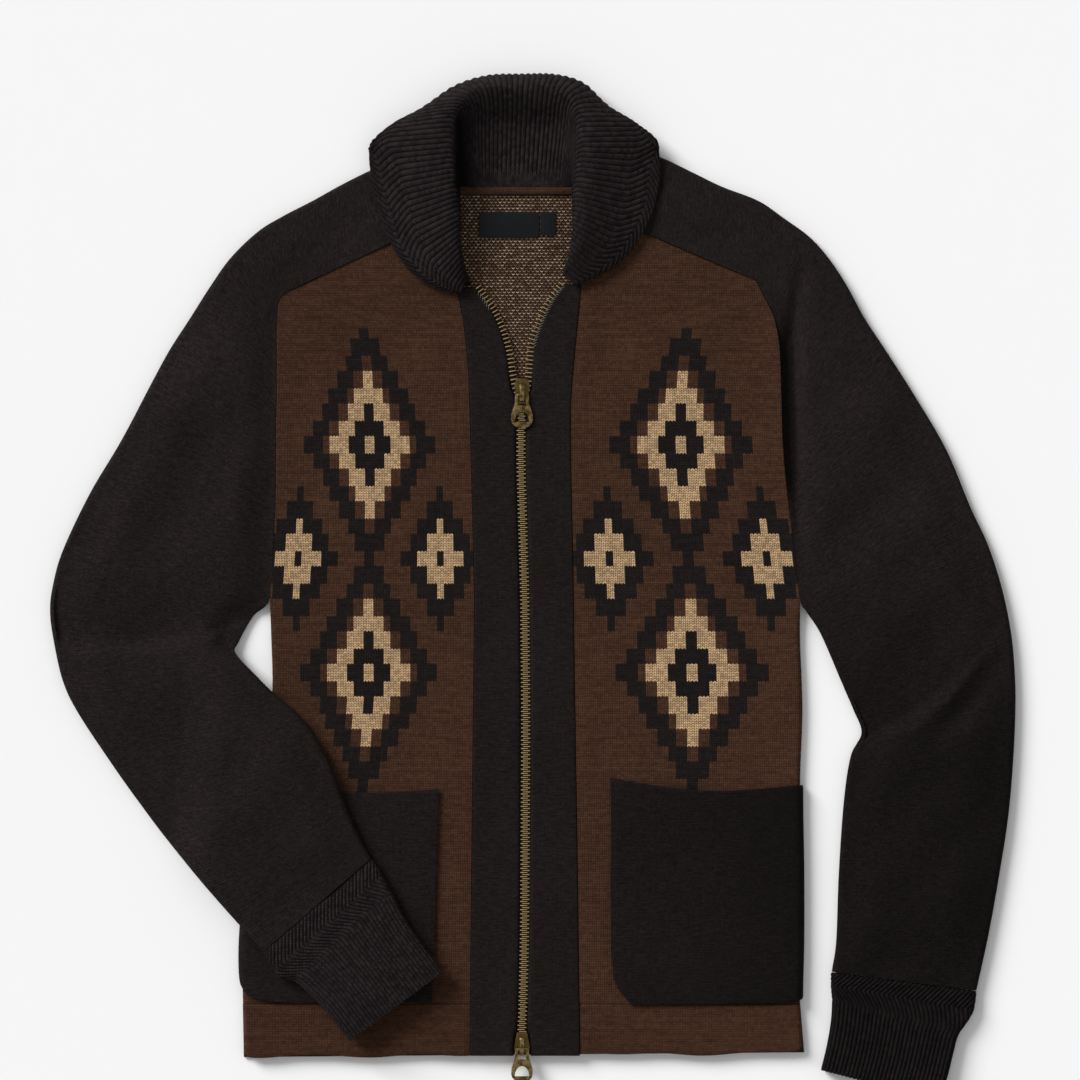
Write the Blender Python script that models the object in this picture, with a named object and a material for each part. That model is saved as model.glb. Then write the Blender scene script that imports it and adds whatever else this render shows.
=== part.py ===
"""Zip-up sweater with a ribbed shawl collar, laid flat on its back.

X runs across the garment, +Y from the hem to the collar, and Z = 0 is the surface it lies on.
Tables and sizes are in millimetres and meshes in metres. Left and right are as seen from above.
"""

import math

import bmesh
import bpy
import numpy as np

MM = 0.001

# Walls and layers
BODY_WALL = 3.0
BAND_WALL = 2.6
POCKET_WALL = 2.5
SLEEVE_WALL = 3.0
RIB_WALL = 3.4
TAPE_WALL = 0.8
LABEL_WALL = 1.0
SEAM_GAP = 0.35
LAYER_AIR = 1.7
FRONT_UNDER = BODY_WALL + LAYER_AIR
FRONT_TOP = FRONT_UNDER + BODY_WALL
SIDE_RADIUS = FRONT_TOP - BODY_WALL - SEAM_GAP
SIDE_ANGLES = (30, 60, 90)
TAPE_UNDER = 4.55
BAND_UNDER = TAPE_UNDER + TAPE_WALL + 0.3
BAND_TOP = BAND_UNDER + BAND_WALL
POCKET_TOP = FRONT_TOP + SEAM_GAP + POCKET_WALL
SLEEVE_HEIGHT = 9.2
SADDLE_HEIGHT = 8.6
SLEEVE_LIP = 8.0
CUFF_HEIGHT = 9.8

# Body pieces: side_x, side_y on the armhole or side seam, and front_x, front_y on the band seam
BODY_ROWS = {
    "left": (
        (-197.6, 236.0, -66.4, 297.6),
        (-203.2, 228.0, -65.6, 284.8),
        (-204.8, 206.4, -64.0, 260.8),
        (-204.8, 188.8, -58.9, 230.0),
        (-204.8, 162.4, -54.9, 208.0),
        (-205.2, 134.4, -51.4, 172.0),
        (-205.4, 115.2, -50.6, 147.2),
        (-205.6, 82.4, -49.4, 102.4),
        (-207.2, 38.4, -48.0, 46.4),
        (-210.2, -8.0, -46.8, -9.6),
        (-209.6, -35.2, -47.0, -35.2),
        (-208.8, -89.6, -47.6, -89.6),
        (-216.8, -153.6, -48.3, -161.6),
        (-226.4, -217.6, -49.0, -225.6),
        (-232.8, -281.6, -49.6, -281.6),
        (-232.0, -332.0, -50.0, -332.0),
        (-231.2, -375.0, -50.4, -373.6),
    ),
    "right": (
        (178.4, 245.6, 40.8, 304.0),
        (184.8, 232.8, 40.0, 288.0),
        (192.8, 216.0, 39.2, 264.0),
        (196.8, 194.4, 37.6, 230.0),
        (198.0, 171.2, 35.4, 208.0),
        (199.0, 136.0, 32.0, 172.0),
        (199.6, 116.8, 30.4, 147.2),
        (201.9, 88.0, 30.4, 102.4),
        (208.0, 38.4, 31.5, 46.4),
        (213.2, -8.0, 32.6, -9.6),
        (213.6, -41.6, 32.8, -35.2),
        (215.6, -97.6, 33.6, -89.6),
        (213.6, -157.6, 34.7, -161.6),
        (214.4, -225.6, 35.7, -225.6),
        (214.4, -281.6, 36.4, -281.6),
        (213.6, -332.0, 37.1, -332.0),
        (216.8, -371.2, 37.6, -373.6),
    ),
}
ARMHOLE_ROWS = 10
BAND_FIRST_ROW = 3
HEM_FIRST_ROW = 15

# Zip: y, the tooth line of each side in x, and how far the band edge stands off it
ZIP_ROWS = (
    (230.0, -36.1, 12.7, 3.1),
    (220.0, -29.6, 7.4, 3.1),
    (208.0, -24.2, 2.2, 3.1),
    (196.0, -20.2, -1.8, 3.1),
    (184.0, -17.5, -3.0, 3.3),
    (172.0, -15.8, -3.9, 3.6),
    (160.0, -13.2, -5.4, 4.6),
    (147.2, -9.6, -8.8, 4.6),
    (102.4, -10.0, -9.2, 4.0),
    (46.4, -8.5, -7.7, 4.0),
    (-9.6, -7.0, -6.2, 4.0),
    (-35.2, -6.8, -6.0, 4.0),
    (-89.6, -6.3, -5.5, 4.0),
    (-161.6, -6.4, -5.6, 4.0),
    (-225.6, -6.8, -6.0, 4.0),
    (-281.6, -7.3, -6.5, 4.0),
    (-332.0, -8.0, -7.2, 4.0),
    (-352.0, -9.0, -8.4, 4.6),
    (-362.0, -13.0, -5.0, 5.6),
    (-373.6, -17.0, -1.0, 6.6),
)
TAPE_WIDTH = 14.0

# Back neck edge, from the left shoulder seam to the right one
BACK_NECK = ((-61.6, 321.2), (36.0, 321.2))

# Sleeves. Saddle rows: share of the shoulder seam from the armhole corner, fold_x, fold_y.
# Armhole rows: fold_x, fold_y. Arm rows: fold_x, fold_y, inner_x, inner_y.
SADDLE_ROWS = {
    "left": (
        (0.982, -69.6, 353.6),
        (0.811, -98.4, 347.2),
        (0.604, -130.4, 333.6),
        (0.390, -154.4, 321.6),
        (0.195, -176.0, 309.6),
    ),
    "right": (
        (0.982, 42.4, 362.4),
        (0.808, 69.6, 354.4),
        (0.616, 100.8, 344.8),
        (0.407, 126.4, 332.8),
        (0.209, 151.2, 320.8),
    ),
}
ARMHOLE_FOLDS = {
    "left": (
        (-200.0, 297.2),
        (-220.0, 284.8),
        (-241.6, 264.0),
        (-257.6, 241.6),
        (-274.4, 215.2),
        (-290.4, 190.4),
        (-304.8, 164.0),
        (-328.8, 118.4),
        (-354.4, 75.2),
        (-376.0, 29.6),
    ),
    "right": (
        (180.0, 309.6),
        (200.0, 296.0),
        (220.8, 280.8),
        (236.0, 264.0),
        (250.4, 242.4),
        (264.8, 216.0),
        (281.6, 190.4),
        (305.6, 152.8),
        (330.4, 110.4),
        (349.6, 64.8),
    ),
}
ARM_ROWS = {
    "left": (
        (-384.0, 0.8, -223.2, -22.4),
        (-386.0, -19.2, -234.4, -41.6),
        (-383.2, -41.6, -237.6, -51.2),
        (-376.0, -73.6, -220.8, -69.6),
        (-364.0, -99.2, -208.0, -82.4),
        (-336.0, -141.6, -182.4, -105.6),
        (-312.0, -175.2, -162.4, -137.6),
        (-288.8, -205.6, -149.6, -172.0),
        (-251.2, -249.6, -138.4, -197.6),
        (-215.2, -289.6, -128.8, -215.2),
    ),
    "right": (
        (364.0, 33.6, 218.4, -19.2),
        (375.2, -1.6, 229.6, -36.8),
        (382.4, -37.6, 245.6, -73.6),
        (385.2, -70.4, 256.0, -97.6),
        (385.6, -97.6, 262.4, -116.0),
        (384.0, -135.2, 253.6, -134.4),
        (380.0, -181.6, 248.0, -171.2),
        (372.8, -228.8, 244.0, -228.8),
        (364.0, -277.6, 242.0, -281.6),
        (354.4, -321.6, 238.4, -306.4),
    ),
}
FRONT_SHARES = (0.0, 0.24, 0.46, 0.66, 0.84, 1.0)
LIP_ANGLES = (0, 35, 65, 90)
FOLD_ANGLES = (45, 0, -45)

# The left forearm climbs onto the body, and then onto the pocket, over these runs
ARM_CLEAR = 31.0
ARM_RAMP = 40.0
ARM_RISE_FROM = -40.0
ARM_RISE = 22.0
POCKET_RISE_FROM = -90.0
POCKET_RISE = 38.0

# Cuffs: outer_x, outer_y, inner_x, inner_y, and the sideways rack of the ribs in rib pitches
CUFF_ROWS = {
    "left": (
        (-214.9, -290.1, -128.3, -216.1, 0.0),
        (-204.8, -307.2, -119.2, -230.4, 1.2),
        (-188.8, -314.4, -112.0, -244.0, 0.0),
        (-176.8, -324.8, -105.6, -257.6, 0.0),
        (-164.0, -337.6, -96.0, -273.6, 0.0),
        (-146.4, -360.8, -72.0, -305.6, 0.0),
    ),
    "right": (
        (354.3, -322.3, 238.3, -307.1, 0.0),
        (351.2, -339.2, 238.4, -318.4, 1.2),
        (340.0, -356.8, 239.2, -330.4, 0.0),
        (336.0, -369.6, 238.4, -345.6, 0.0),
        (331.2, -388.8, 235.2, -364.8, 0.0),
        (324.8, -409.6, 230.4, -384.8, 0.0),
    ),
}
CUFF_RIBS = 54
CUFF_RIB_RAISE = 0.45

# Pockets: inner_x, inner_y, side_y and how far the row's middle hangs below its ends
POCKET_ROWS = {
    "left": (
        (-75.2, -160.8, -160.0, 3.0),
        (-76.0, -176.0, -174.0, 1.5),
        (-77.6, -219.2, -217.6, 0.0),
        (-78.4, -255.0, -250.0, 0.0),
        (-79.2, -288.0, -281.6, 0.0),
        (-80.8, -330.4, -330.4, 0.0),
    ),
    "right": (
        (61.6, -151.2, -157.6, 7.0),
        (62.0, -168.0, -171.0, 2.5),
        (62.4, -210.0, -225.6, 0.0),
        (62.0, -257.6, -255.0, 0.0),
        (63.2, -297.6, -281.6, 0.0),
        (66.4, -316.8, -318.0, 0.0),
        (78.4, -332.8, -331.5, 0.0),
    ),
}
POCKET_SHARES = (0.0, 0.06, 0.25, 0.5, 0.75, 1.0)
POCKET_GAPE = {"left": 0.0, "right": 1.2}

# Collar stations: seam_x, seam_y, edge_x, edge_y, crest height share, share turned under
COLLAR_STATIONS = (
    (-49.0, 243.0, -60.4, 234.8, 0.30, 0.0),
    (-53.4, 253.0, -75.2, 238.6, 0.50, 0.0),
    (-57.4, 265.0, -89.6, 245.6, 0.75, 0.0),
    (-60.0, 280.0, -107.2, 263.0, 0.95, 0.0),
    (-61.4, 297.0, -119.2, 292.8, 1.00, 0.0),
    (-61.6, 326.0, -130.0, 347.0, 1.00, 0.0),
    (-61.0, 332.0, -121.6, 368.0, 1.00, 0.15),
    (-59.0, 332.0, -99.2, 379.2, 1.00, 0.40),
    (-54.4, 328.5, -71.2, 395.2, 1.00, 0.75),
    (-44.8, 323.6, -40.0, 406.8, 1.00, 1.0),
    (-12.8, 322.4, -9.0, 408.2, 1.00, 1.0),
    (15.2, 323.6, 22.0, 407.0, 1.00, 1.0),
    (24.4, 327.5, 43.5, 397.0, 1.00, 0.75),
    (29.6, 332.0, 67.2, 381.0, 1.00, 0.40),
    (32.8, 334.0, 90.4, 367.4, 1.00, 0.15),
    (34.4, 326.0, 100.6, 344.0, 1.00, 0.0),
    (34.6, 298.0, 95.6, 303.0, 1.00, 0.0),
    (33.6, 284.0, 84.0, 280.6, 0.95, 0.0),
    (31.4, 271.0, 69.0, 263.0, 0.80, 0.0),
    (28.4, 260.0, 53.0, 250.8, 0.60, 0.0),
    (24.4, 250.0, 36.0, 242.6, 0.30, 0.0),
)
# Collar profiles from the seam to the outer edge: reach share, height at no crest, extra at the crest
SIDE_PROFILE = (
    (0.00, 5.0, 0.0),
    (-0.03, 8.5, 3.5),
    (0.05, 12.6, 10.0),
    (0.24, 13.0, 14.4),
    (0.50, 13.0, 11.0),
    (0.78, 13.0, 4.5),
    (1.00, 12.6, 0.0),
)
BACK_PROFILE = (
    (0.00, 4.4),
    (0.16, 9.0),
    (0.50, 9.8),
    (0.86, 12.6),
    (1.00, 7.0),
    (0.93, 0.0),
    (0.30, 0.0),
)
COLLAR_RIBS = 84
COLLAR_RIB_RAISE = 0.55
COLLAR_ROWS = 11
COLLAR_RACK_FROM = 0.8
COLLAR_RACK = 1.1

# Neck trim: centre_x, centre_y, width, length
BINDING = (-12.8, 317.4, 84.0, 6.0)
LABEL = (-19.2, 290.4, 48.0, 20.8)
SIZE_TAB = (11.8, 291.2, 12.4, 18.6)

# Sliders: centre x, y of the pull's crossbar, and the way its wide end faces
SLIDERS = {"top": (-8.8, 154.4, 1), "bottom": (-8.8, -368.0, -1)}
SLIDER_WIDE = 12.6
SLIDER_NARROW = 8.0
PLATE_UNDER = (3.4, 4.25)
PLATE_OVER = (7.2, 8.25)
BRIDGE_SPAN = (-5.6, 9.6)
BRIDGE_WIDTH = 4.3
BRIDGE_UNDERSIDE = 10.75
BRIDGE_TOP = 12.05
PULL_AXIS_HEIGHT = 9.5
PULL_THICKNESS = 1.6
PULL_LENGTH = 27.6
PULL_BAR = 0.8
WINDOW_WIDTH = 5.3
WINDOW_END = 8.4
HOLE_WIDTH = 9.2
HOLE_SPAN = (14.0, 21.4)

CHARCOAL = (31, 26, 26)
RIB_CHARCOAL = (30, 26, 27)
BROWN = (62, 43, 33)
HEM_BROWN = (54, 37, 29)
LABEL_BLACK = (28, 32, 34)
BRASS = (128, 108, 66)


def ease(t):
    t = np.clip(t, 0.0, 1.0)
    return t * t * (3.0 - 2.0 * t)


def unit(vector):
    return vector / max(float(np.linalg.norm(vector)), 1e-9)


def along(rows, at):
    """A smooth curve through the rows of a table, read at row number `at`."""
    rows = np.asarray(rows, float)
    at = min(max(float(at), 0.0), len(rows) - 1.0)
    i = min(int(at), len(rows) - 2)
    t = at - i
    before = rows[i - 1] if i else 2 * rows[0] - rows[1]
    after = rows[i + 2] if i + 2 < len(rows) else 2 * rows[-1] - rows[-2]
    a, b = rows[i], rows[i + 1]
    return 0.5 * (
        2 * a + (b - before) * t + (2 * before - 5 * a + 4 * b - after) * t**2 + (3 * a - before - 3 * b + after) * t**3
    )


def paint(name, colour, roughness, metallic=0.0):
    """A plain material in an 8-bit display colour."""
    material = bpy.data.materials.new(name)
    material.use_nodes = True
    surface = material.node_tree.nodes["Principled BSDF"]
    scene_colour = [(c / 255 / 12.92) if c < 11 else ((c / 255 + 0.055) / 1.055) ** 2.4 for c in colour]
    surface.inputs["Base Color"].default_value = (*scene_colour, 1.0)
    surface.inputs["Roughness"].default_value = roughness
    surface.inputs["Metallic"].default_value = metallic
    return material


def add_piece(name, points, faces, material):
    """One closed mesh from points in millimetres, with its faces turned outwards."""
    mesh = bpy.data.meshes.new(name)
    mesh.from_pydata([tuple(np.asarray(p, float) * MM) for p in points], [], faces)
    shape = bmesh.new()
    shape.from_mesh(mesh)
    bmesh.ops.recalc_face_normals(shape, faces=shape.faces)
    shape.to_mesh(mesh)
    shape.free()
    mesh.shade_smooth()
    mesh.set_sharp_from_angle(angle=math.radians(50))
    mesh.materials.append(material)
    piece = bpy.data.objects.new(name, mesh)
    bpy.context.scene.collection.objects.link(piece)
    return piece


def cloth_wall(name, outer, inner, material, ring=False):
    """A closed wall between two grids of points. The outer one may have several columns to each inner one."""
    outer, inner = np.asarray(outer, float), np.asarray(inner, float)
    rows, fine = outer.shape[:2]
    coarse = inner.shape[1]
    step = fine // coarse if ring else (fine - 1) // (coarse - 1)
    base = rows * fine
    faces = []
    for i in range(rows - 1):
        for width, start in ((fine, 0), (coarse, base)):
            for j in range(width if ring else width - 1):
                k = (j + 1) % width
                faces.append((start + i * width + j, start + i * width + k, start + (i + 1) * width + k, start + (i + 1) * width + j))
    for i in (0, rows - 1):
        for j in range(coarse if ring else coarse - 1):
            near, far = base + i * coarse + j, base + i * coarse + (j + 1) % coarse
            edge = [i * fine + (step * j + m) % fine for m in range(step + 1)]
            if step == 1:
                faces.append((edge[0], edge[1], far, near))
                continue
            half = step // 2
            faces += [(edge[m], edge[m + 1], near if m < half else far) for m in range(step)]
            faces.append((edge[half], far, near))
    if not ring:
        for j, k in ((0, 0), (fine - 1, coarse - 1)):
            for i in range(rows - 1):
                faces.append((i * fine + j, (i + 1) * fine + j, base + (i + 1) * coarse + k, base + i * coarse + k))
    return add_piece(name, [*outer.reshape(-1, 3), *inner.reshape(-1, 3)], faces, material)


def slab(name, outline, bottom, top, material):
    """A flat piece of cloth cut to an outline."""
    count = len(outline)
    points = [(x, y, z) for z in (bottom, top) for x, y in outline]
    faces = [tuple(range(count)), tuple(range(count, 2 * count))]
    faces += [(i, (i + 1) % count, count + (i + 1) % count, count + i) for i in range(count)]
    return add_piece(name, points, faces, material)


def box_outline(x0, x1, y0, y1):
    return [(x0, y0), (x1, y0), (x1, y1), (x0, y1)]


def body_rows(side):
    return np.array(BODY_ROWS[side])


def side_section(offset, curl):
    """How the cloth turns down at the side seam: distance in from the side (a share, then millimetres) and height."""
    radius = SIDE_RADIUS + offset
    centre = FRONT_TOP - SIDE_RADIUS
    section = [(share, SIDE_RADIUS, FRONT_TOP + offset) for share in (1.0, 0.8, 0.6, 0.4, 0.2, 0.0)]
    for angle in SIDE_ANGLES:
        turn = math.radians(angle)
        laid = SIDE_RADIUS * (1 - angle / SIDE_ANGLES[-1])
        inset = (1 - curl) * laid + curl * (SIDE_RADIUS - radius * math.sin(turn))
        height = (1 - curl) * (FRONT_TOP + offset) + curl * (centre + radius * math.cos(turn))
        section.append((0.0, inset, height))
    return section


def front_surface(side, first, last, offset):
    """A grid over a front, `offset` above its outer face, from the band seam to the armhole or side."""
    grid = []
    for number, (side_x, side_y, seam_x, seam_y) in list(enumerate(body_rows(side)))[first : last + 1]:
        outer, inner = np.array((side_x, side_y)), np.array((seam_x, seam_y))
        inward = unit(inner - outer)
        gap = SEAM_GAP / 2
        reach = np.linalg.norm(inner - outer) - gap
        row = []
        for share, inset, height in side_section(offset, 0.0 if number < ARMHOLE_ROWS else 1.0):
            distance = gap + inset + share * (reach - gap - inset) if share else gap + inset
            row.append((*(outer + inward * distance), height))
        grid.append(row)
    return np.array(grid)


def make_fronts(cloth, hem):
    for side in ("left", "right"):
        parts = (("front_" + side, 0, HEM_FIRST_ROW, cloth), ("hem_band_" + side, HEM_FIRST_ROW, HEM_FIRST_ROW + 1, hem))
        for name, first, last, material in parts:
            outer = front_surface(side, first, last, 0.0)
            inner = front_surface(side, first, last, -BODY_WALL)
            if first:
                outer[0, :, 1] -= SEAM_GAP
                inner[0, :, 1] -= SEAM_GAP
            cloth_wall(name, outer, inner, material)


def make_back(cloth, hem):
    left, right = body_rows("left"), body_rows("right")
    inset = np.array((SEAM_GAP / 2, 0.0))
    panel = [tuple(row[:2] + inset) for row in left[HEM_FIRST_ROW::-1]]
    panel += [*BACK_NECK]
    panel += [tuple(row[:2] - inset) for row in right[: HEM_FIRST_ROW + 1]]
    slab("back_panel", panel, 0.0, BODY_WALL, cloth)
    drop = np.array((0.0, -SEAM_GAP))
    band = [left[-1][:2], left[HEM_FIRST_ROW][:2] + drop, right[HEM_FIRST_ROW][:2] + drop, right[-1][:2]]
    slab("hem_band_back", [tuple(p) for p in band], 0.0, BODY_WALL, hem)


def zip_lines(side):
    """Rows of y, tooth line x, band edge x and band seam x."""
    rows = body_rows(side)[BAND_FIRST_ROW:][::-1]
    sign = -1 if side == "left" else 1
    lines = []
    for y, left_tooth, right_tooth, clear in ZIP_ROWS:
        tooth = left_tooth if side == "left" else right_tooth
        seam = np.interp(y, rows[:, 3], rows[:, 2])
        lines.append((y, tooth, tooth + sign * clear, seam))
    return lines


def make_bands_and_tapes(cloth, tape_cloth):
    for side in ("left", "right"):
        sign = -1 if side == "left" else 1
        lines = zip_lines(side)
        band, tape = [], []
        for y, tooth, edge, seam in lines:
            seam_edge = seam - sign * SEAM_GAP / 2
            band.append([(edge + (seam_edge - edge) * share, y) for share in (0.0, 0.08, 0.5, 0.92, 1.0)])
            tape.append([(tooth, y), (tooth + sign * TAPE_WIDTH, y)])
        soften = (0.5, 0.0, 0.0, 0.0, 0.25)
        outer = [[(x, y, BAND_TOP - low) for (x, y), low in zip(row, soften)] for row in band]
        inner = [[(x, y, BAND_UNDER) for x, y in row] for row in band]
        cloth_wall("front_band_" + side, outer, inner, cloth)
        tape = tape[:-3]
        cloth_wall(
            "zip_tape_" + side,
            [[(x, y, TAPE_UNDER + TAPE_WALL) for x, y in row] for row in tape],
            [[(x, y, TAPE_UNDER) for x, y in row] for row in tape],
            tape_cloth,
        )


def lift_under_arm(x, y):
    """Height that the left forearm gains where it crosses the body's side and its pocket."""
    rows = body_rows("left")[ARMHOLE_ROWS - 1 :][::-1]
    inside = x - np.interp(y, rows[:, 1], rows[:, 0])
    on_body = ease((inside + ARM_CLEAR + ARM_RAMP) / ARM_RAMP) * ease((ARM_RISE_FROM - y) / ARM_RISE)
    on_pocket = ease((POCKET_RISE_FROM - y) / POCKET_RISE)
    return on_body * (FRONT_TOP + SEAM_GAP + on_pocket * (POCKET_WALL + SEAM_GAP))


# Creases: from_x, from_y, to_x, to_y, width, depth
SLEEVE_CREASES = {
    "left": ((-236.0, -48.0, -300.0, -34.0, 13.0, 2.0), (-262.0, 120.0, -316.0, -12.0, 17.0, 1.2)),
    "right": (
        (263.0, -116.0, 330.0, -82.0, 13.0, 2.0),
        (330.0, -82.0, 362.0, -42.0, 14.0, 1.2),
        (216.0, 232.0, 218.0, 90.0, 10.0, 1.6),
    ),
}


def crease_depth(side, x, y):
    depth = 0.0
    for from_x, from_y, to_x, to_y, width, deep in SLEEVE_CREASES[side]:
        run = np.array((to_x - from_x, to_y - from_y))
        share = float(np.clip(np.dot((x - from_x, y - from_y), run) / np.dot(run, run), 0.0, 1.0))
        away = math.hypot(x - from_x - share * run[0], y - from_y - share * run[1])
        depth = max(depth, deep * math.exp(-((away / width) ** 2)) * (1 - 0.6 * share))
    return depth


def sleeve_rows(side):
    """Fold point, front lip, back lip, height and how far the lips close, for each row from neck to wrist."""
    body = body_rows(side)
    corner, neck_front = body[0, :2], body[0, 2:]
    neck_back = np.array(BACK_NECK[0 if side == "left" else 1])
    rows = []
    for share, fold_x, fold_y in SADDLE_ROWS[side]:
        front = corner + share * (neck_front - corner)
        back = corner + share * (neck_back - corner)
        rows.append((np.array((fold_x, fold_y)), front, back, SADDLE_HEIGHT, 0.0))
    for number, fold in enumerate(ARMHOLE_FOLDS[side]):
        lip = body[number, :2]
        height = SADDLE_HEIGHT + (SLEEVE_HEIGHT - SADDLE_HEIGHT) * ease(number / 3)
        rows.append((np.array(fold), lip, lip, height, 0.0))
    for number, (fold_x, fold_y, inner_x, inner_y) in enumerate(ARM_ROWS[side]):
        inner = np.array((inner_x, inner_y))
        rows.append((np.array((fold_x, fold_y)), inner, inner, SLEEVE_HEIGHT, 0.6 if number == 0 else 1.0))
    return rows


def layer_section(width, height, closed, lower):
    """One layer of the sleeve from its lip to the fold: distance from the lip and height."""
    radius = height / 2
    section = []
    for angle in LIP_ANGLES:
        turn = math.radians(angle)
        inset = radius * (1 - math.cos(turn))
        rise = max(radius * math.sin(turn), SEAM_GAP * 0.7)
        round_z = radius - rise if lower else radius + rise
        flat_z = 0.0 if lower else SLEEVE_LIP
        section.append((inset, (1 - closed) * flat_z + closed * round_z))
    for share in FRONT_SHARES[1:]:
        distance = radius + share * (width - 2 * radius)
        open_z = 0.0 if lower else SLEEVE_LIP + (height - SLEEVE_LIP) * ease(distance / 25)
        full_z = 0.0 if lower else height
        section.append((distance, (1 - closed) * open_z + closed * full_z))
    return section


def inward_offset(section, closed):
    """The section's inner face, one wall in from its outer face."""
    section = np.array(section)
    step = np.gradient(section, axis=0)
    normal = np.stack([step[:, 1], -step[:, 0]], axis=1)
    lips = ((1 - closed, closed), (-(1 - closed), closed))
    for end, (down, inward) in zip((0, -1), lips):
        normal[end] = (inward, -down)
    normal /= np.linalg.norm(normal, axis=1)[:, None]
    return section + normal * SLEEVE_WALL


def make_sleeve(side, cloth):
    outer, inner = [], []
    for fold, front, back, height, closed in sleeve_rows(side):
        gap = SEAM_GAP
        widths = [np.linalg.norm(fold - lip) - gap for lip in (front, back)]
        inward = [unit(lip - fold) for lip in (front, back)]
        radius = height / 2
        top = [(d - widths[0], z) for d, z in layer_section(widths[0], height, closed, False)]
        bottom = [(d - widths[1], z) for d, z in layer_section(widths[1], height, closed, True)]
        arc = [(radius * (math.cos(math.radians(a)) - 1), radius * (1 + math.sin(math.radians(a)))) for a in FOLD_ANGLES]
        section = top + arc + bottom[::-1]
        for grid, line in ((outer, section), (inner, inward_offset(section, closed))):
            row = []
            for number, (from_fold, z) in enumerate(line):
                way = inward[0] if number < len(top) + 2 else inward[1]
                x, y = fold - way * from_fold
                lift = lift_under_arm(x, y) if side == "left" else 0.0
                dent = crease_depth(side, x, y) if number < len(top) else 0.0
                row.append((x, y, z + lift - dent))
            grid.append(row)
    outer, inner = np.array(outer), np.array(inner)
    cloth_wall("sleeve_" + side, outer, inner, cloth)


def stadium(share, width, height):
    """A point of a flat tube's outline, and the way out from it."""
    radius = height / 2
    flat = width - 2 * radius
    length = 2 * flat + 2 * math.pi * radius
    distance = (share % 1.0) * length
    if distance < flat:
        return (radius + distance, height), (0.0, 1.0)
    distance -= flat
    if distance < math.pi * radius:
        turn = math.pi / 2 - distance / radius
        out = (math.cos(turn), math.sin(turn))
        return (width - radius + radius * out[0], radius + radius * out[1]), out
    distance -= math.pi * radius
    if distance < flat:
        return (width - radius - distance, 0.0), (0.0, -1.0)
    turn = -math.pi / 2 - (distance - flat) / radius
    out = (math.cos(turn), math.sin(turn))
    return (radius + radius * out[0], radius + radius * out[1]), out


def make_cuff(side, cloth):
    outer, inner = [], []
    columns = 2 * CUFF_RIBS
    step = 4
    for number, (outer_x, outer_y, inner_x, inner_y, rack) in enumerate(CUFF_ROWS[side]):
        start, end = np.array((outer_x, outer_y)), np.array((inner_x, inner_y))
        across = unit(end - start)
        width = float(np.linalg.norm(end - start))
        lift = FRONT_TOP + POCKET_WALL + 2 * SEAM_GAP if side == "left" else 0.0
        welt = 0.4 if number == 2 else 1.0
        fine, coarse = [], []
        for j in range(columns):
            (s, z), out = stadium((j + 2 * rack) / columns, width, CUFF_HEIGHT)
            raise_by = CUFF_RIB_RAISE * welt * (1 if j % 2 else -1) * ease((out[1] + 0.6) / 0.8)
            s, z = s + out[0] * raise_by, z + out[1] * raise_by
            fine.append((*(start + across * s), z + lift))
        for j in range(0, columns, step):
            (s, z), out = stadium((j + 2 * rack) / columns, width, CUFF_HEIGHT)
            s, z = s - out[0] * RIB_WALL, z - out[1] * RIB_WALL
            coarse.append((*(start + across * s), z + lift))
        outer.append(fine)
        inner.append(coarse)
    cloth_wall("cuff_" + side, outer, inner, cloth, ring=True)


def make_pocket(side, cloth):
    """A patch that follows the front, and its turn at the side, one wall above it."""
    body = body_rows(side)[ARMHOLE_ROWS:][::-1]
    sign = -1 if side == "left" else 1
    outer, inner = [], []
    for number, (inner_x, inner_y, side_y, hang) in enumerate(POCKET_ROWS[side]):
        gape = POCKET_GAPE[side] * (1 - ease(number / 2))
        high, low = [], []
        edge_x = float(np.interp(side_y, body[:, 1], body[:, 0])) - sign * SEAM_GAP
        turn_x = edge_x - sign * SIDE_RADIUS
        for share in POCKET_SHARES:
            sag = math.sin(math.pi * share)
            x, y = inner_x + (turn_x - inner_x) * share, inner_y + (side_y - inner_y) * share - hang * sag
            low.append((x, y, FRONT_TOP + SEAM_GAP + gape * sag))
            high.append((x, y, POCKET_TOP + gape * sag))
        for angle in SIDE_ANGLES:
            turn = math.radians(angle)
            for line, offset in ((low, SEAM_GAP), (high, SEAM_GAP + POCKET_WALL)):
                radius = SIDE_RADIUS + offset
                x = turn_x + sign * radius * math.sin(turn)
                line.append((x, side_y, FRONT_TOP - SIDE_RADIUS + radius * math.cos(turn)))
        outer.append(high)
        inner.append(low)
    cloth_wall("pocket_" + side, outer, inner, cloth)


def collar_profile(height, turned):
    side = np.array([(reach, low + height * extra) for reach, low, extra in SIDE_PROFILE])
    back = np.array(BACK_PROFILE)
    return side + turned * (back - side)


def collar_point(station, across):
    """The visible face of the collar; `across` runs from 0 at the neck seam to 1 at the outer edge."""
    seam_x, seam_y, edge_x, edge_y, height, turned = along(COLLAR_STATIONS, station)
    profile = collar_profile(height, min(max(turned, 0.0), 1.0))
    reach, z = along(profile, across * (len(profile) - 1))
    return np.array((seam_x + reach * (edge_x - seam_x), seam_y + reach * (edge_y - seam_y), max(z, 0.0)))


def collar_frame(station, across):
    """A point of the collar's visible face and the way out from it."""
    last = len(COLLAR_STATIONS) - 1
    low_s, high_s = max(station - 0.05, 0.0), min(station + 0.05, last)
    low_a, high_a = max(across - 0.02, 0.0), min(across + 0.02, 1.0)
    along_collar = collar_point(high_s, across) - collar_point(low_s, across)
    over_collar = collar_point(station, high_a) - collar_point(station, low_a)
    return collar_point(station, across), unit(np.cross(along_collar, over_collar))


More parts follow.
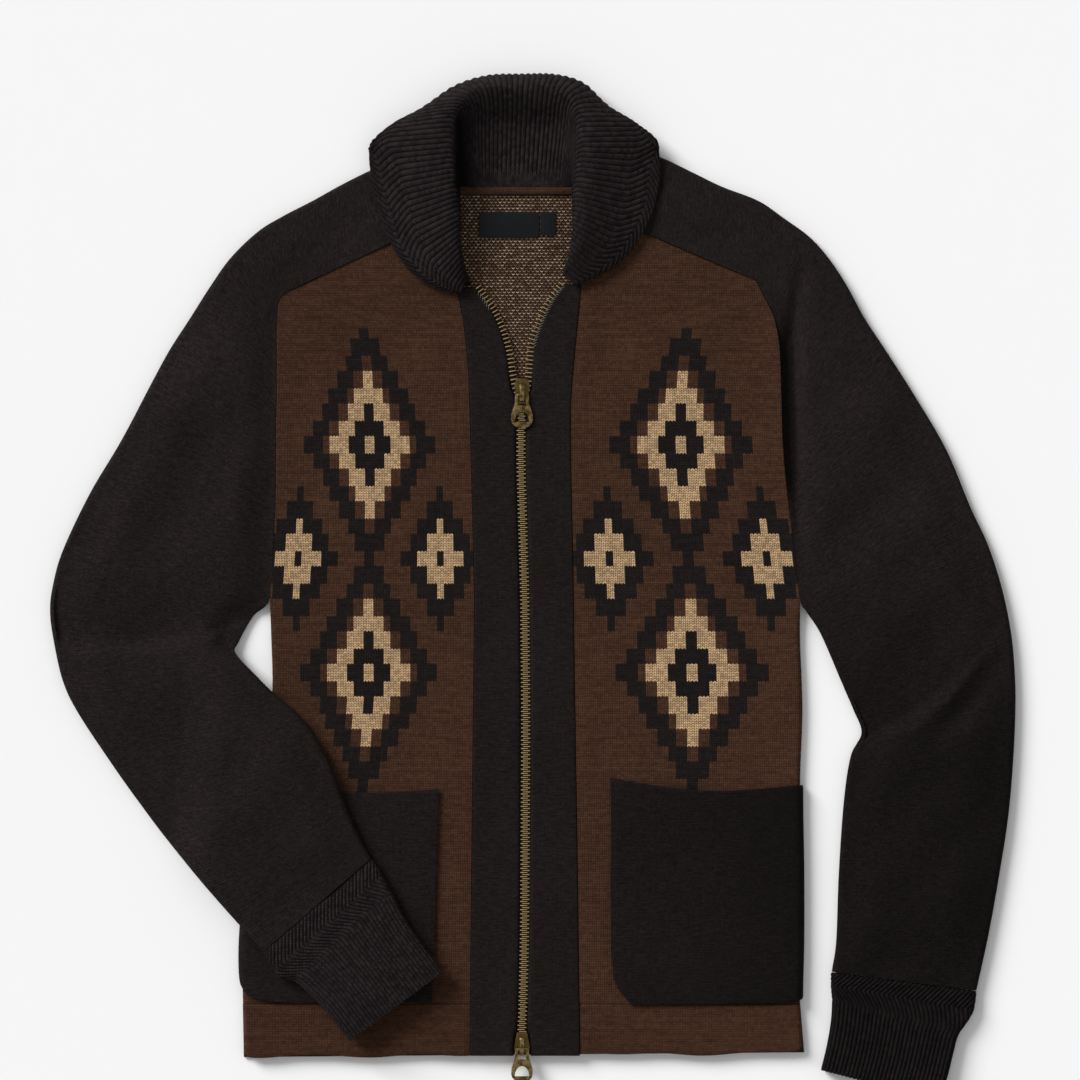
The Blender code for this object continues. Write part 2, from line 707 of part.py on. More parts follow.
def collar_stations(count):
    """Stations at even distances along the crest."""
    fine = np.linspace(0, len(COLLAR_STATIONS) - 1, 241)
    crest = np.array([collar_point(s, 0.42) for s in fine])
    length = np.concatenate([[0.0], np.cumsum(np.linalg.norm(np.diff(crest, axis=0), axis=1))])
    return np.interp(np.linspace(0, length[-1], count), length, fine)


def make_collar(cloth):
    step = 4
    columns = 2 * COLLAR_RIBS + 1
    stations = collar_stations(columns)
    outer, inner = [], []
    for across in np.linspace(0.0, 1.0, COLLAR_ROWS):
        band = (across - COLLAR_RACK_FROM) / (1 - COLLAR_RACK_FROM)
        rack = COLLAR_RACK * 2 * (1 - abs(2 * band - 1)) if band > 0 else 0.0
        fine, coarse = [], []
        for j in range(columns):
            shifted = np.interp(j + rack * math.sin(math.pi * j / (columns - 1)), range(columns), stations)
            point, out = collar_frame(shifted, across)
            lying = ease((out[2] + 0.9) / 0.4)
            raise_by = COLLAR_RIB_RAISE * (1 if j % 2 else -1) * lying * ease(across * 12 + 0.3)
            outside = point + out * raise_by
            outside[2] = max(outside[2], 0.0)
            fine.append(outside)
            if j % step == 0:
                coarse.append(point - out * RIB_WALL)
        outer.append(fine)
        inner.append(coarse)
    cloth_wall("collar", outer, inner, cloth)


def make_neck_trim(binding_cloth, label_cloth):
    x, y, width, length = BINDING
    bottom = BODY_WALL + SEAM_GAP
    turns = np.linspace(0.0, math.pi, 9)
    roll = []
    for end in (x - width / 2, x + width / 2):
        roll.append([(end, y + length / 2 * math.cos(a), bottom + 1.0 + 1.8 * math.sin(a)) for a in turns])
    flat = [[(px, py, bottom) for px, py, _ in row] for row in roll]
    cloth_wall("neck_binding", roll, flat, binding_cloth)
    for name, (x, y, width, length) in (("neck_label", LABEL), ("size_tab", SIZE_TAB)):
        outline = box_outline(x - width / 2, x + width / 2, y - length / 2, y + length / 2)
        slab(name, outline, bottom, bottom + LABEL_WALL, label_cloth)


def joined(name, first, others, operation):
    """Boolean each of the others into the first, then drop them."""
    for other in others:
        change = first.modifiers.new(operation.lower(), "BOOLEAN")
        change.operation = operation
        change.solver = "EXACT"
        change.object = other
        bpy.context.view_layer.objects.active = first
        bpy.ops.object.modifier_apply(modifier=change.name)
        bpy.data.objects.remove(other, do_unlink=True)
    first.name = name
    return first


def make_slider(which, brass):
    """Two plates held apart by a post at the wide end, with a bridge over the pull's crossbar."""
    x, axis_y, facing = SLIDERS[which]
    wide_y, narrow_y = (axis_y + 13.0, axis_y - 7.4) if facing > 0 else (axis_y - 4.2, axis_y + 13.0)
    toward_wide = 1 if facing > 0 else -1
    shoulder_y = wide_y - toward_wide * 5.0
    half_wide, half_narrow = SLIDER_WIDE / 2, SLIDER_NARROW / 2
    shield = [
        (x - half_narrow, narrow_y),
        (x + half_narrow, narrow_y),
        (x + half_wide, shoulder_y),
        (x + half_wide - 2.0, wide_y),
        (x - half_wide + 2.0, wide_y),
        (x - half_wide, shoulder_y),
    ]
    under = slab("under", shield, *PLATE_UNDER, brass)
    over = slab("over", shield, *PLATE_OVER, brass)
    post_y = wide_y - toward_wide * 2.6
    post = slab("post", box_outline(x - 1.0, x + 1.0, post_y - 1.6, post_y + 1.6), PLATE_UNDER[0] + 0.2, PLATE_OVER[1] - 0.2, brass)
    half = BRIDGE_WIDTH / 2
    low, high = axis_y + BRIDGE_SPAN[0], axis_y + BRIDGE_SPAN[1]
    leg = 1.5
    foot = PLATE_OVER[0] + 0.3
    side_view = [
        (low, foot),
        (low + leg, foot),
        (low + leg + 0.3, BRIDGE_UNDERSIDE),
        (high - leg - 0.3, BRIDGE_UNDERSIDE),
        (high - leg, foot),
        (high, foot),
        (high - 0.6, BRIDGE_TOP - 0.7),
        (high - 2.0, BRIDGE_TOP),
        (low + 2.0, BRIDGE_TOP),
        (low + 0.6, BRIDGE_TOP - 0.7),
    ]
    bridge = slab("bridge", side_view, -half, half, brass)
    for vertex in bridge.data.vertices:
        y, z, across = vertex.co
        vertex.co = (x * MM + across, y, z)
    return joined("slider_" + which, over, [under, post, bridge], "UNION")


def pull_outline():
    """Half widths of the pull at distances from its crossbar's end, rounded at the tip."""
    sides = [(-PULL_BAR, 5.0), (0.6, 5.6), (7.0, 5.7), (11.0, 7.0), (15.5, 8.4), (20.0, 8.6)]
    tip = PULL_LENGTH - PULL_BAR
    rounded = [(20.0 + (tip - 20.0) * math.sin(a), 8.6 * math.cos(a)) for a in (0.45, 0.85, 1.2)]
    sides += rounded + [(tip, 0.0)]
    return [(w, -d) for d, w in sides] + [(-w, -d) for d, w in sides[-2::-1]]


def make_pull(which, brass):
    """The pull lies flat, with its crossbar on the hinge axis at the piece's origin."""
    x, axis_y, _ = SLIDERS[which]
    half = PULL_THICKNESS / 2
    plate = slab("plate", pull_outline(), -half, half, brass)
    window = slab("window", box_outline(-WINDOW_WIDTH / 2, WINDOW_WIDTH / 2, -WINDOW_END, -PULL_BAR), -3, 3, brass)
    top, bottom = HOLE_SPAN
    width = HOLE_WIDTH / 2
    arch = [(width * math.cos(a), -bottom + (bottom - top) * math.sin(a)) for a in np.linspace(0, math.pi, 9)]
    hole = slab("hole", arch, -3, 3, brass)
    pull = joined("pull_" + which, plate, [window, hole], "DIFFERENCE")
    pull.location = (x * MM, axis_y * MM, PULL_AXIS_HEIGHT * MM)
    return pull


def main():
    for old in list(bpy.data.objects):
        bpy.data.objects.remove(old, do_unlink=True)
    brown = paint("brown_knit", BROWN, 0.95)
    hem = paint("brown_hem_knit", HEM_BROWN, 0.95)
    charcoal = paint("charcoal_knit", CHARCOAL, 0.95)
    rib = paint("charcoal_rib", RIB_CHARCOAL, 0.95)
    label = paint("label_satin", LABEL_BLACK, 0.6)
    brass = paint("antique_brass", BRASS, 0.38, 1.0)
    make_back(brown, hem)
    make_fronts(brown, hem)
    make_bands_and_tapes(charcoal, charcoal)
    for side in ("left", "right"):
        make_sleeve(side, charcoal)
        make_cuff(side, rib)
        make_pocket(side, charcoal)
    make_collar(rib)
    make_neck_trim(brown, label)
    for which in SLIDERS:
        make_slider(which, brass)
        make_pull(which, brass)


main()
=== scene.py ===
"""Zip-up sweater with a ribbed shawl collar, laid flat on its back and seen from above.

Tables are in millimetres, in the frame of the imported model: X across the garment, +Y from the
hem to the collar, Z up from the surface it lies on. Left and right are as seen from above.
"""

import math

import bmesh
import bpy
import numpy as np
from bpy.props import FloatProperty, FloatVectorProperty, IntProperty, PointerProperty
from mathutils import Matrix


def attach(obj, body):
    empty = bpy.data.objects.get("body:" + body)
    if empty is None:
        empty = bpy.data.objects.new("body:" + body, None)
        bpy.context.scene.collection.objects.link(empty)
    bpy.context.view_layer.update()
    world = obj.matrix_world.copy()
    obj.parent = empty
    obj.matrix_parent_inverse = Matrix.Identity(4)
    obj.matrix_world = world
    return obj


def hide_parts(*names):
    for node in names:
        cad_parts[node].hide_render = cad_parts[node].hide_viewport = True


bl_info = {
    "name": "Zip-up Sweater",
    "version": (1, 0, 0),
    "blender": (4, 5, 0),
    "location": "3D View > Sidebar > Sweater",
    "description": "Dresses the packed sweater with knitted cloth, ribs, a zip and soft light",
    "category": "Object",
}

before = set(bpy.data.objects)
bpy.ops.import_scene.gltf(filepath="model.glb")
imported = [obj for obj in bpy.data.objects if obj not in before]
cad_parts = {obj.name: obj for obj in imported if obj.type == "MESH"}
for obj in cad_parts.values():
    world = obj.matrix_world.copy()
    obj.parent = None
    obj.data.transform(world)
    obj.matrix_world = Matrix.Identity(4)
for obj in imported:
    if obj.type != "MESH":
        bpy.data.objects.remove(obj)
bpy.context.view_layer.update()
MM = 0.001
GARMENT = "garment"

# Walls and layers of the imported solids
BODY_WALL = 3.0
POCKET_WALL = 2.5
SLEEVE_WALL = 3.0
RIB_WALL = 3.4
TAPE_WALL = 0.8
LABEL_WALL = 1.0
SEAM_GAP = 0.35
FRONT_TOP = 7.7
SIDE_RADIUS = 4.35
TAPE_UNDER = 4.55
BAND_UNDER = 5.65
BAND_TOP = 8.25
POCKET_TOP = 10.55
SLEEVE_HEIGHT = 9.2
SADDLE_HEIGHT = 8.6
SLEEVE_LIP = 8.0
CUFF_HEIGHT = 9.8

# Body pieces: side_x, side_y on the armhole or side seam, and front_x, front_y on the band seam
BODY_ROWS = {
    "left": (
        (-197.6, 236.0, -66.4, 297.6),
        (-203.2, 228.0, -65.6, 284.8),
        (-204.8, 206.4, -64.0, 260.8),
        (-204.8, 188.8, -58.9, 230.0),
        (-204.8, 162.4, -54.9, 208.0),
        (-205.2, 134.4, -51.4, 172.0),
        (-205.4, 115.2, -50.6, 147.2),
        (-205.6, 82.4, -49.4, 102.4),
        (-207.2, 38.4, -48.0, 46.4),
        (-210.2, -8.0, -46.8, -9.6),
        (-209.6, -35.2, -47.0, -35.2),
        (-208.8, -89.6, -47.6, -89.6),
        (-216.8, -153.6, -48.3, -161.6),
        (-226.4, -217.6, -49.0, -225.6),
        (-232.8, -281.6, -49.6, -281.6),
        (-232.0, -332.0, -50.0, -332.0),
        (-231.2, -375.0, -50.4, -373.6),
    ),
    "right": (
        (178.4, 245.6, 40.8, 304.0),
        (184.8, 232.8, 40.0, 288.0),
        (192.8, 216.0, 39.2, 264.0),
        (196.8, 194.4, 37.6, 230.0),
        (198.0, 171.2, 35.4, 208.0),
        (199.0, 136.0, 32.0, 172.0),
        (199.6, 116.8, 30.4, 147.2),
        (201.9, 88.0, 30.4, 102.4),
        (208.0, 38.4, 31.5, 46.4),
        (213.2, -8.0, 32.6, -9.6),
        (213.6, -41.6, 32.8, -35.2),
        (215.6, -97.6, 33.6, -89.6),
        (213.6, -157.6, 34.7, -161.6),
        (214.4, -225.6, 35.7, -225.6),
        (214.4, -281.6, 36.4, -281.6),
        (213.6, -332.0, 37.1, -332.0),
        (216.8, -371.2, 37.6, -373.6),
    ),
}
ARMHOLE_ROWS = 10
BAND_FIRST_ROW = 2
HEM_FIRST_ROW = 15
BODY_STEPS = 8
ARMHOLE_SWELL = {"left": 0.5, "right": 3.0}
SWELL_ENDS = (60.0, 225.0)
SWELL_WIDTH = 13.0
HEM_SEAM = -332.0
HEM_HANG = 3.0

# Random seeds of the slow waves in each piece
SEEDS = {
    "front_left": 11,
    "front_right": 12,
    "back": 21,
    "band_left": 31,
    "band_right": 32,
    "sleeve_left": 41,
    "sleeve_right": 42,
    "hem": 51,
}

# Zip: y, the tooth line of each side in x, and how far the band edge stands off it
ZIP_ROWS = (
    (243.0, -45.4, 22.6, 3.1),
    (236.5, -40.8, 17.4, 3.1),
    (230.0, -36.1, 12.7, 3.1),
    (220.0, -29.6, 7.4, 3.1),
    (208.0, -24.2, 2.2, 3.1),
    (196.0, -20.2, -1.8, 3.1),
    (184.0, -17.5, -3.0, 3.3),
    (172.0, -15.8, -3.9, 3.6),
    (160.0, -13.2, -5.4, 4.6),
    (147.2, -9.6, -8.8, 4.6),
    (102.4, -10.0, -9.2, 4.0),
    (46.4, -8.5, -7.7, 4.0),
    (-9.6, -7.0, -6.2, 4.0),
    (-35.2, -6.8, -6.0, 4.0),
    (-89.6, -6.3, -5.5, 4.0),
    (-161.6, -6.4, -5.6, 4.0),
    (-225.6, -6.8, -6.0, 4.0),
    (-281.6, -7.3, -6.5, 4.0),
    (-332.0, -8.4, -7.8, 4.0),
    (-350.0, -9.0, -8.6, 4.4),
    (-358.0, -9.0, -8.6, 6.4),
    (-373.6, -9.0, -8.6, 6.7),
)
TAPE_END = -332.0
TEETH_FROM = -356.0
TEETH_MEET = 149.0
BAND_TOPS = {"left": 240.5, "right": 243.0}

# How a band drops toward the zip and toward its seam: share of its width and millimetres
BAND_EDGES = (
    ((0.0, 1.25), (0.015, 0.7), (0.035, 0.32), (0.06, 0.1), (0.09, 0.0)),
    ((0.93, 0.0), (0.985, 0.2), (1.0, 0.6)),
)
TAPE_WIDTH = 14.0

# Frayed stretches of the tapes: side, from_y, to_y and pitch
FRAYS = (("right", 192.0, 240.0, 2.3), ("left", 224.0, 236.0, 2.6))
BACK_NECK = ((-61.6, 321.2), (36.0, 321.2))

# Sleeves. Saddle rows: share of the shoulder seam from the armhole corner, fold_x, fold_y.
# Armhole rows: fold_x, fold_y. Arm rows: fold_x, fold_y, inner_x, inner_y.
SADDLE_ROWS = {
    "left": (
        (0.982, -69.6, 353.6),
        (0.811, -98.4, 347.2),
        (0.604, -130.4, 333.6),
        (0.390, -154.4, 321.6),
        (0.195, -176.0, 309.6),
    ),
    "right": (
        (0.982, 42.4, 362.4),
        (0.808, 69.6, 354.4),
        (0.616, 100.8, 344.8),
        (0.407, 126.4, 332.8),
        (0.209, 151.2, 320.8),
    ),
}
ARMHOLE_FOLDS = {
    "left": (
        (-200.0, 297.2),
        (-220.0, 284.8),
        (-241.6, 264.0),
        (-257.6, 241.6),
        (-274.4, 215.2),
        (-290.4, 190.4),
        (-304.8, 164.0),
        (-328.8, 118.4),
        (-354.4, 75.2),
        (-376.0, 29.6),
    ),
    "right": (
        (180.0, 309.6),
        (200.0, 296.0),
        (220.8, 280.8),
        (236.0, 264.0),
        (250.4, 242.4),
        (264.8, 216.0),
        (281.6, 190.4),
        (305.6, 152.8),
        (330.4, 110.4),
        (349.6, 64.8),
    ),
}
ARM_ROWS = {
    "left": (
        (-384.0, 0.8, -223.2, -22.4),
        (-386.0, -19.2, -234.4, -41.6),
        (-383.2, -41.6, -237.6, -51.2),
        (-376.0, -73.6, -220.8, -69.6),
        (-364.0, -99.2, -208.0, -82.4),
        (-336.0, -141.6, -182.4, -105.6),
        (-312.0, -175.2, -162.4, -137.6),
        (-288.8, -205.6, -149.6, -172.0),
        (-251.2, -249.6, -138.4, -197.6),
        (-215.2, -289.6, -128.8, -215.2),
    ),
    "right": (
        (364.0, 33.6, 218.4, -19.2),
        (375.2, -1.6, 229.6, -36.8),
        (382.4, -37.6, 245.6, -73.6),
        (385.2, -70.4, 256.0, -97.6),
        (385.6, -97.6, 262.4, -116.0),
        (384.0, -135.2, 253.6, -134.4),
        (380.0, -181.6, 248.0, -171.2),
        (372.8, -228.8, 244.0, -228.8),
        (364.0, -277.6, 242.0, -281.6),
        (354.4, -321.6, 238.4, -306.4),
    ),
}
SLEEVE_STEPS = 9
SLEEVE_PUFF = 6.2
SLEEVE_FLOOR = 3.2
ARM_CLEAR = 31.0
ARM_RAMP = 40.0
ARM_RISE_FROM = -40.0
ARM_RISE = 22.0
POCKET_RISE_FROM = -90.0
POCKET_RISE = 38.0

# Creases: from_x, from_y, to_x, to_y, widths on the left and right of that run, depths at both ends
SLEEVE_CREASES = {
    "left": (
        (-236.0, -52.0, -252.0, -33.0, 7.0, 26.0, 6.0, 9.0),
        (-252.0, -33.0, -319.0, -41.6, 7.0, 38.0, 9.0, 8.5),
        (-319.0, -41.6, -372.0, -38.0, 8.0, 36.0, 8.5, 4.0),
        (-262.0, 120.0, -316.0, 10.0, 22.0, 20.0, 2.6, 0.5),
        (-215.0, 205.0, -262.0, 60.0, 18.0, 14.0, 2.4, 1.4),
        (-352.0, 40.0, -330.0, 0.0, 16.0, 16.0, 2.0, 0.5),
        (-226.0, -140.0, -290.0, -190.0, 16.0, 22.0, 1.8, 0.4),
    ),
    "right": (
        (263.0, -116.0, 297.6, -101.6, 36.0, 7.0, 9.0, 8.5),
        (297.6, -101.6, 329.6, -75.2, 38.0, 8.0, 8.5, 7.0),
        (329.6, -75.2, 361.6, -41.6, 26.0, 8.0, 7.0, 2.0),
        (316.0, -126.0, 346.0, -94.0, 12.0, 12.0, 2.0, 7.5),
        (346.0, -94.0, 366.0, -64.0, 12.0, 12.0, 7.5, 3.0),
        (214.0, 250.0, 209.0, 214.0, 8.0, 7.0, 3.0, 6.5),
        (209.0, 214.0, 205.6, 190.0, 8.0, 7.0, 6.5, 8.5),
        (205.6, 190.0, 207.6, 110.0, 8.0, 7.0, 8.5, 8.5),
        (207.6, 110.0, 214.0, 40.0, 7.0, 5.0, 8.5, 1.5),
        (232.0, 60.0, 262.0, -40.0, 14.0, 16.0, 1.5, 2.6),
        (300.0, 120.0, 356.0, 10.0, 22.0, 20.0, 2.2, 0.6),
        (262.0, -160.0, 330.0, -200.0, 20.0, 16.0, 1.8, 0.4),
    ),
}

# Cuffs: outer_x, outer_y, inner_x, inner_y, and how many ribs the zigzag band is racked sideways
CUFF_ROWS = {
    "left": (
        (-214.9, -290.1, -128.3, -216.1),
        (-204.8, -307.2, -119.2, -230.4),
        (-188.8, -314.4, -112.0, -244.0),
        (-176.8, -324.8, -105.6, -257.6),
        (-164.0, -337.6, -96.0, -273.6),
        (-146.4, -360.8, -72.0, -305.6),
    ),
    "right": (
        (354.3, -322.3, 238.3, -307.1),
        (351.2, -339.2, 238.4, -318.4),
        (340.0, -356.8, 239.2, -330.4),
        (336.0, -369.6, 238.4, -345.6),
        (331.2, -388.8, 235.2, -364.8),
        (324.8, -409.6, 230.4, -384.8),
    ),
}
CUFF_RIBS = 64
CUFF_RIB_COLUMNS = 8
CUFF_RACK = {"left": -3.0, "right": 3.0}
CUFF_RISE = 2.5

# Pockets: inner_x, inner_y, side_y and how far the row's middle hangs below its ends
POCKET_ROWS = {
    "left": (
        (-75.2, -160.8, -160.0, 3.0),
        (-76.0, -176.0, -174.0, 1.5),
        (-77.6, -219.2, -217.6, 0.0),
        (-78.4, -255.0, -250.0, 0.0),
        (-79.2, -288.0, -281.6, 0.0),
        (-80.8, -330.4, -330.4, 0.0),
    ),
    "right": (
        (61.6, -151.2, -157.6, 7.0),
        (62.0, -168.0, -171.0, 2.5),
        (62.4, -210.0, -225.6, 0.0),
        (62.0, -257.6, -255.0, 0.0),
        (63.2, -297.6, -281.6, 0.0),
        (66.4, -316.8, -318.0, 0.0),
        (78.4, -332.8, -331.5, 0.0),
    ),
}
POCKET_GAPE = {"left": 0.0, "right": 1.2}

# Collar stations from the left front end round the neck to the right one:
# seam_x, seam_y, crest_x, crest_y, crest_z, edge_x, edge_y and the share that is turned under
COLLAR_STATIONS = (
    (-49.0, 243.5, -53.6, 243.0, 13.0, -57.0, 235.6, 0.0),
    (-53.4, 253.0, -56.0, 253.0, 17.5, -67.0, 236.4, 0.0),
    (-57.0, 265.0, -57.5, 265.0, 21.5, -79.0, 240.4, 0.0),
    (-60.0, 280.0, -58.5, 280.0, 24.5, -95.0, 250.0, 0.0),
    (-61.0, 297.0, -59.5, 297.0, 26.5, -111.6, 271.0, 0.0),
    (-61.5, 310.0, -61.0, 318.0, 27.5, -122.0, 301.0, 0.0),
    (-61.5, 317.6, -62.5, 340.0, 28.0, -129.8, 332.0, 0.0),
    (-60.5, 320.6, -63.0, 359.0, 28.0, -129.4, 355.0, 0.06),
    (-57.0, 321.7, -61.0, 375.0, 27.5, -117.0, 369.6, 0.2),
    (-51.5, 322.0, -54.4, 386.0, 26.5, -89.0, 383.2, 0.45),
    (-43.0, 322.2, -44.0, 392.8, 25.0, -62.4, 400.4, 0.75),
    (-31.0, 322.4, -30.4, 395.6, 23.5, -36.4, 408.2, 1.0),
    (-12.8, 322.4, -10.0, 396.4, 23.0, -9.0, 409.4, 1.0),
    (6.0, 322.4, 12.0, 395.6, 23.5, 17.6, 409.0, 1.0),
    (18.0, 322.2, 24.8, 392.0, 25.0, 40.0, 402.6, 0.75),
    (26.5, 322.0, 32.0, 383.2, 26.5, 60.0, 385.2, 0.45),
    (31.6, 321.8, 34.4, 370.4, 27.5, 85.6, 371.6, 0.2),
    (33.8, 320.4, 35.2, 355.2, 28.0, 98.6, 357.6, 0.06),
    (34.6, 316.4, 35.0, 337.6, 28.0, 101.2, 332.0, 0.0),
    (34.8, 307.6, 34.4, 316.8, 27.5, 96.4, 304.0, 0.0),
    (34.6, 296.0, 33.6, 298.4, 26.5, 84.8, 279.0, 0.0),
    (33.4, 283.0, 32.4, 283.2, 24.5, 69.2, 260.4, 0.0),
    (31.4, 270.0, 30.0, 269.6, 21.5, 54.0, 250.4, 0.0),
    (28.4, 259.0, 26.8, 258.4, 17.5, 43.2, 245.2, 0.0),
    (24.4, 250.0, 24.0, 249.6, 13.0, 33.6, 241.0, 0.0),
)
# Profiles from the seam to the outer edge: share of the way to the crest, then from the crest to
# the edge, and the height as a share of the crest and as millimetres
FALL_PROFILE = (
    (0.0, 0.0, 0.0, 5.0),
    (0.3, -0.05, 0.3, 4.0),
    (0.8, -0.04, 0.66, 3.2),
    (1.0, 0.03, 0.9, 1.7),
    (1.0, 0.18, 1.0, 0.0),
    (1.0, 0.42, 0.62, 5.6),
    (1.0, 0.70, 0.22, 10.9),
    (1.0, 0.90, 0.04, 12.6),
    (1.0, 1.0, 0.0, 12.5),
)
TUCK_PROFILE = (
    (-0.035, 0.0, 0.0, 4.6),
    (0.3, 0.0, 0.1, 4.2),
    (0.66, 0.0, 0.26, 3.0),
    (0.86, 0.0, 0.72, 1.0),
    (1.0, 0.25, 1.0, 0.0),
    (1.0, 0.94, 0.66, 0.0),
    (1.0, 0.98, 0.2, 0.0),
    (1.0, -0.1, 0.0, 0.2),
    (1.0, -2.6, 0.0, 0.2),
)
COLLAR_RIBS = 98
COLLAR_RIB_COLUMNS = 7
COLLAR_PLAIN = 5.0
COLLAR_ROWS = 56
COLLAR_RACK_FROM = 0.72

# Neck trim: centre_x, centre_y, width, length
BINDING = (-13.4, 317.4, 90.0, 6.0)
LABEL = (-19.2, 290.4, 48.0, 20.8)
SIZE_TAB = (11.8, 291.2, 12.4, 18.6)

# Brass stays dark below this height
BRASS_DARK_BELOW = 8.3

# Middle of each pull's crossbar. Its openings: from and to below the crossbar, half width, and
# how much wider and longer they become. Above BRIDGE_FROM the slider is slimmer
PULL_BARS = {"top": (-8.8, 154.4), "bottom": (-8.8, -368.0)}
PULL_OPENINGS = ((0.5, 8.6, 3.0, 1.2, 1.0), (13.5, 21.6, 5.0, 1.26, 1.12))
PULL_MIDDLE = 18.2
BRIDGE_FROM = 8.4
BRIDGE_SLIM = 0.8

# Diamond design on each front, measured from the band seam and along Y, and the width that a front
# has in the map. Above STEADY_FROM the map keeps the scale it has there
DESIGN_MIDDLE = 82.0
DESIGN_STEP = (7.0, 13.0)
DESIGN_TOP = 115.0
DESIGN_PITCH = 182.0
DESIGN_SIDE = 56.0
DESIGN_ENDS = (-214.0, 208.0)
DESIGN_SPREAD = 158.0
STEADY_FROM = 115.0

# Light, floor and camera. Turns are in degrees
SKY_STRENGTH = 0.45
KEY_SOFTNESS = 28
KEY_PLACE = (-1.0, 0.9, 0.9)
KEY_TURNS = (61, 0, 228)
FLOOR_HALF = 3.0
FLOOR_DROP = 0.3
CAMERA_PLACE = (5.6, 38.4)
FILM_WIDTH = 36.0


def ink(red, green, blue):
    """An 8-bit display colour as scene colour."""
    shares = (channel / 255 for channel in (red, green, blue))
    return tuple(c / 12.92 if c < 0.04045 else ((c + 0.055) / 1.055) ** 2.4 for c in shares)


def colour_property(name, description, default):
    return FloatVectorProperty(
        name=name, description=description, default=default, subtype="COLOR", size=3, min=0, max=1
    )


def length_property(name, description, default):
    return FloatProperty(name=name, description=description, default=default, subtype="DISTANCE")


class SweaterYarn(bpy.types.PropertyGroup):
    """Yarn colours and stitch sizes."""

    brown: colour_property("Brown", "Ground colour of the body", ink(69, 47, 35))
    hem_brown: colour_property("Hem brown", "Colour of the hem band", ink(68, 46, 34))
    charcoal: colour_property("Charcoal", "Colour of the sleeves, bands and pockets", ink(36, 31, 31))
    rib_charcoal: colour_property("Rib charcoal", "Colour of the collar and cuffs", ink(38, 33, 34))
    tan: colour_property("Tan", "Light yarn of the diamond design", ink(205, 172, 132))
    stitch_width: length_property("Stitch width", "Width of one stitch of the body", 2.6 * MM)
    stitch_height: length_property("Stitch height", "Height of one stitch of the body", 2.0 * MM)
    fine_stitch: length_property("Fine stitch", "Stitch width of the sleeves and pockets", 1.9 * MM)


class SweaterRibs(bpy.types.PropertyGroup):
    """Relief of the ribbed pieces."""

    collar_raise: length_property("Collar rib height", "How far a rib stands above its groove", 1.0 * MM)
    cuff_raise: length_property("Cuff rib height", "How far a rib stands above its groove", 1.1 * MM)
    collar_rack: FloatProperty(
        name="Collar rack", description="Sideways shift of the zigzag band in ribs", default=2.0
    )


class SweaterZip(bpy.types.PropertyGroup):
    """Zip sizes and metal colour."""

    pitch: length_property("Tooth pitch", "From one tooth to the next", 3.3 * MM)
    tooth_length: length_property("Tooth length", "Length of a tooth across the zip", 5.6 * MM)
    brass: colour_property("Brass", "Colour of the sliders and pulls", ink(150, 130, 84))
    tooth_brass: colour_property("Tooth brass", "Colour of the teeth", ink(200, 172, 122))


class SweaterStage(bpy.types.PropertyGroup):
    """Floor, light and camera."""

    floor_colour: colour_property("Floor", "Colour of the plain floor", ink(246, 246, 246))
    camera_height: length_property("Camera height", "Above the floor", 5.0)
    photo_width: length_property("Photo width", "Width of the floor that the picture shows", 0.864)
    key_strength: FloatProperty(name="Key light", description="Strength of the studio light", default=3.62)
    floor_cuts: IntProperty(name="Floor cuts", description="Divisions of the floor's edge", default=8, min=1)


# Maths on shader sockets


class Value:
    """A socket in a material that takes part in Python expressions."""

    def __init__(self, looks, socket):
        self.looks = looks
        self.socket = socket

    def __add__(self, other):
        return self.looks.maths("ADD", self, other)

    def __radd__(self, other):
        return self.looks.maths("ADD", other, self)

    def __sub__(self, other):
        return self.looks.maths("SUBTRACT", self, other)

    def __rsub__(self, other):
        return self.looks.maths("SUBTRACT", other, self)

    def __mul__(self, other):
        return self.looks.maths("MULTIPLY", self, other)

    def __rmul__(self, other):
        return self.looks.maths("MULTIPLY", other, self)

    def __truediv__(self, other):
        return self.looks.maths("DIVIDE", self, other)

    def __pow__(self, other):
        return self.looks.maths("POWER", self, other)

    def __abs__(self):
        return self.looks.maths("ABSOLUTE", self)

    def __lt__(self, other):
        return self.looks.maths("LESS_THAN", self, other)

    def __gt__(self, other):
        return self.looks.maths("GREATER_THAN", self, other)

    def floor(self):
        return self.looks.maths("FLOOR", self)

    def fract(self):
        return self.looks.maths("FRACT", self)

    def sine(self):
        return self.looks.maths("SINE", self)

    def least(self, other):
        return self.looks.maths("MINIMUM", self, other)

    def most(self, other):
        return self.looks.maths("MAXIMUM", self, other)

    def share(self):
        """Held between 0 and 1."""
        return self.most(0.0).least(1.0)


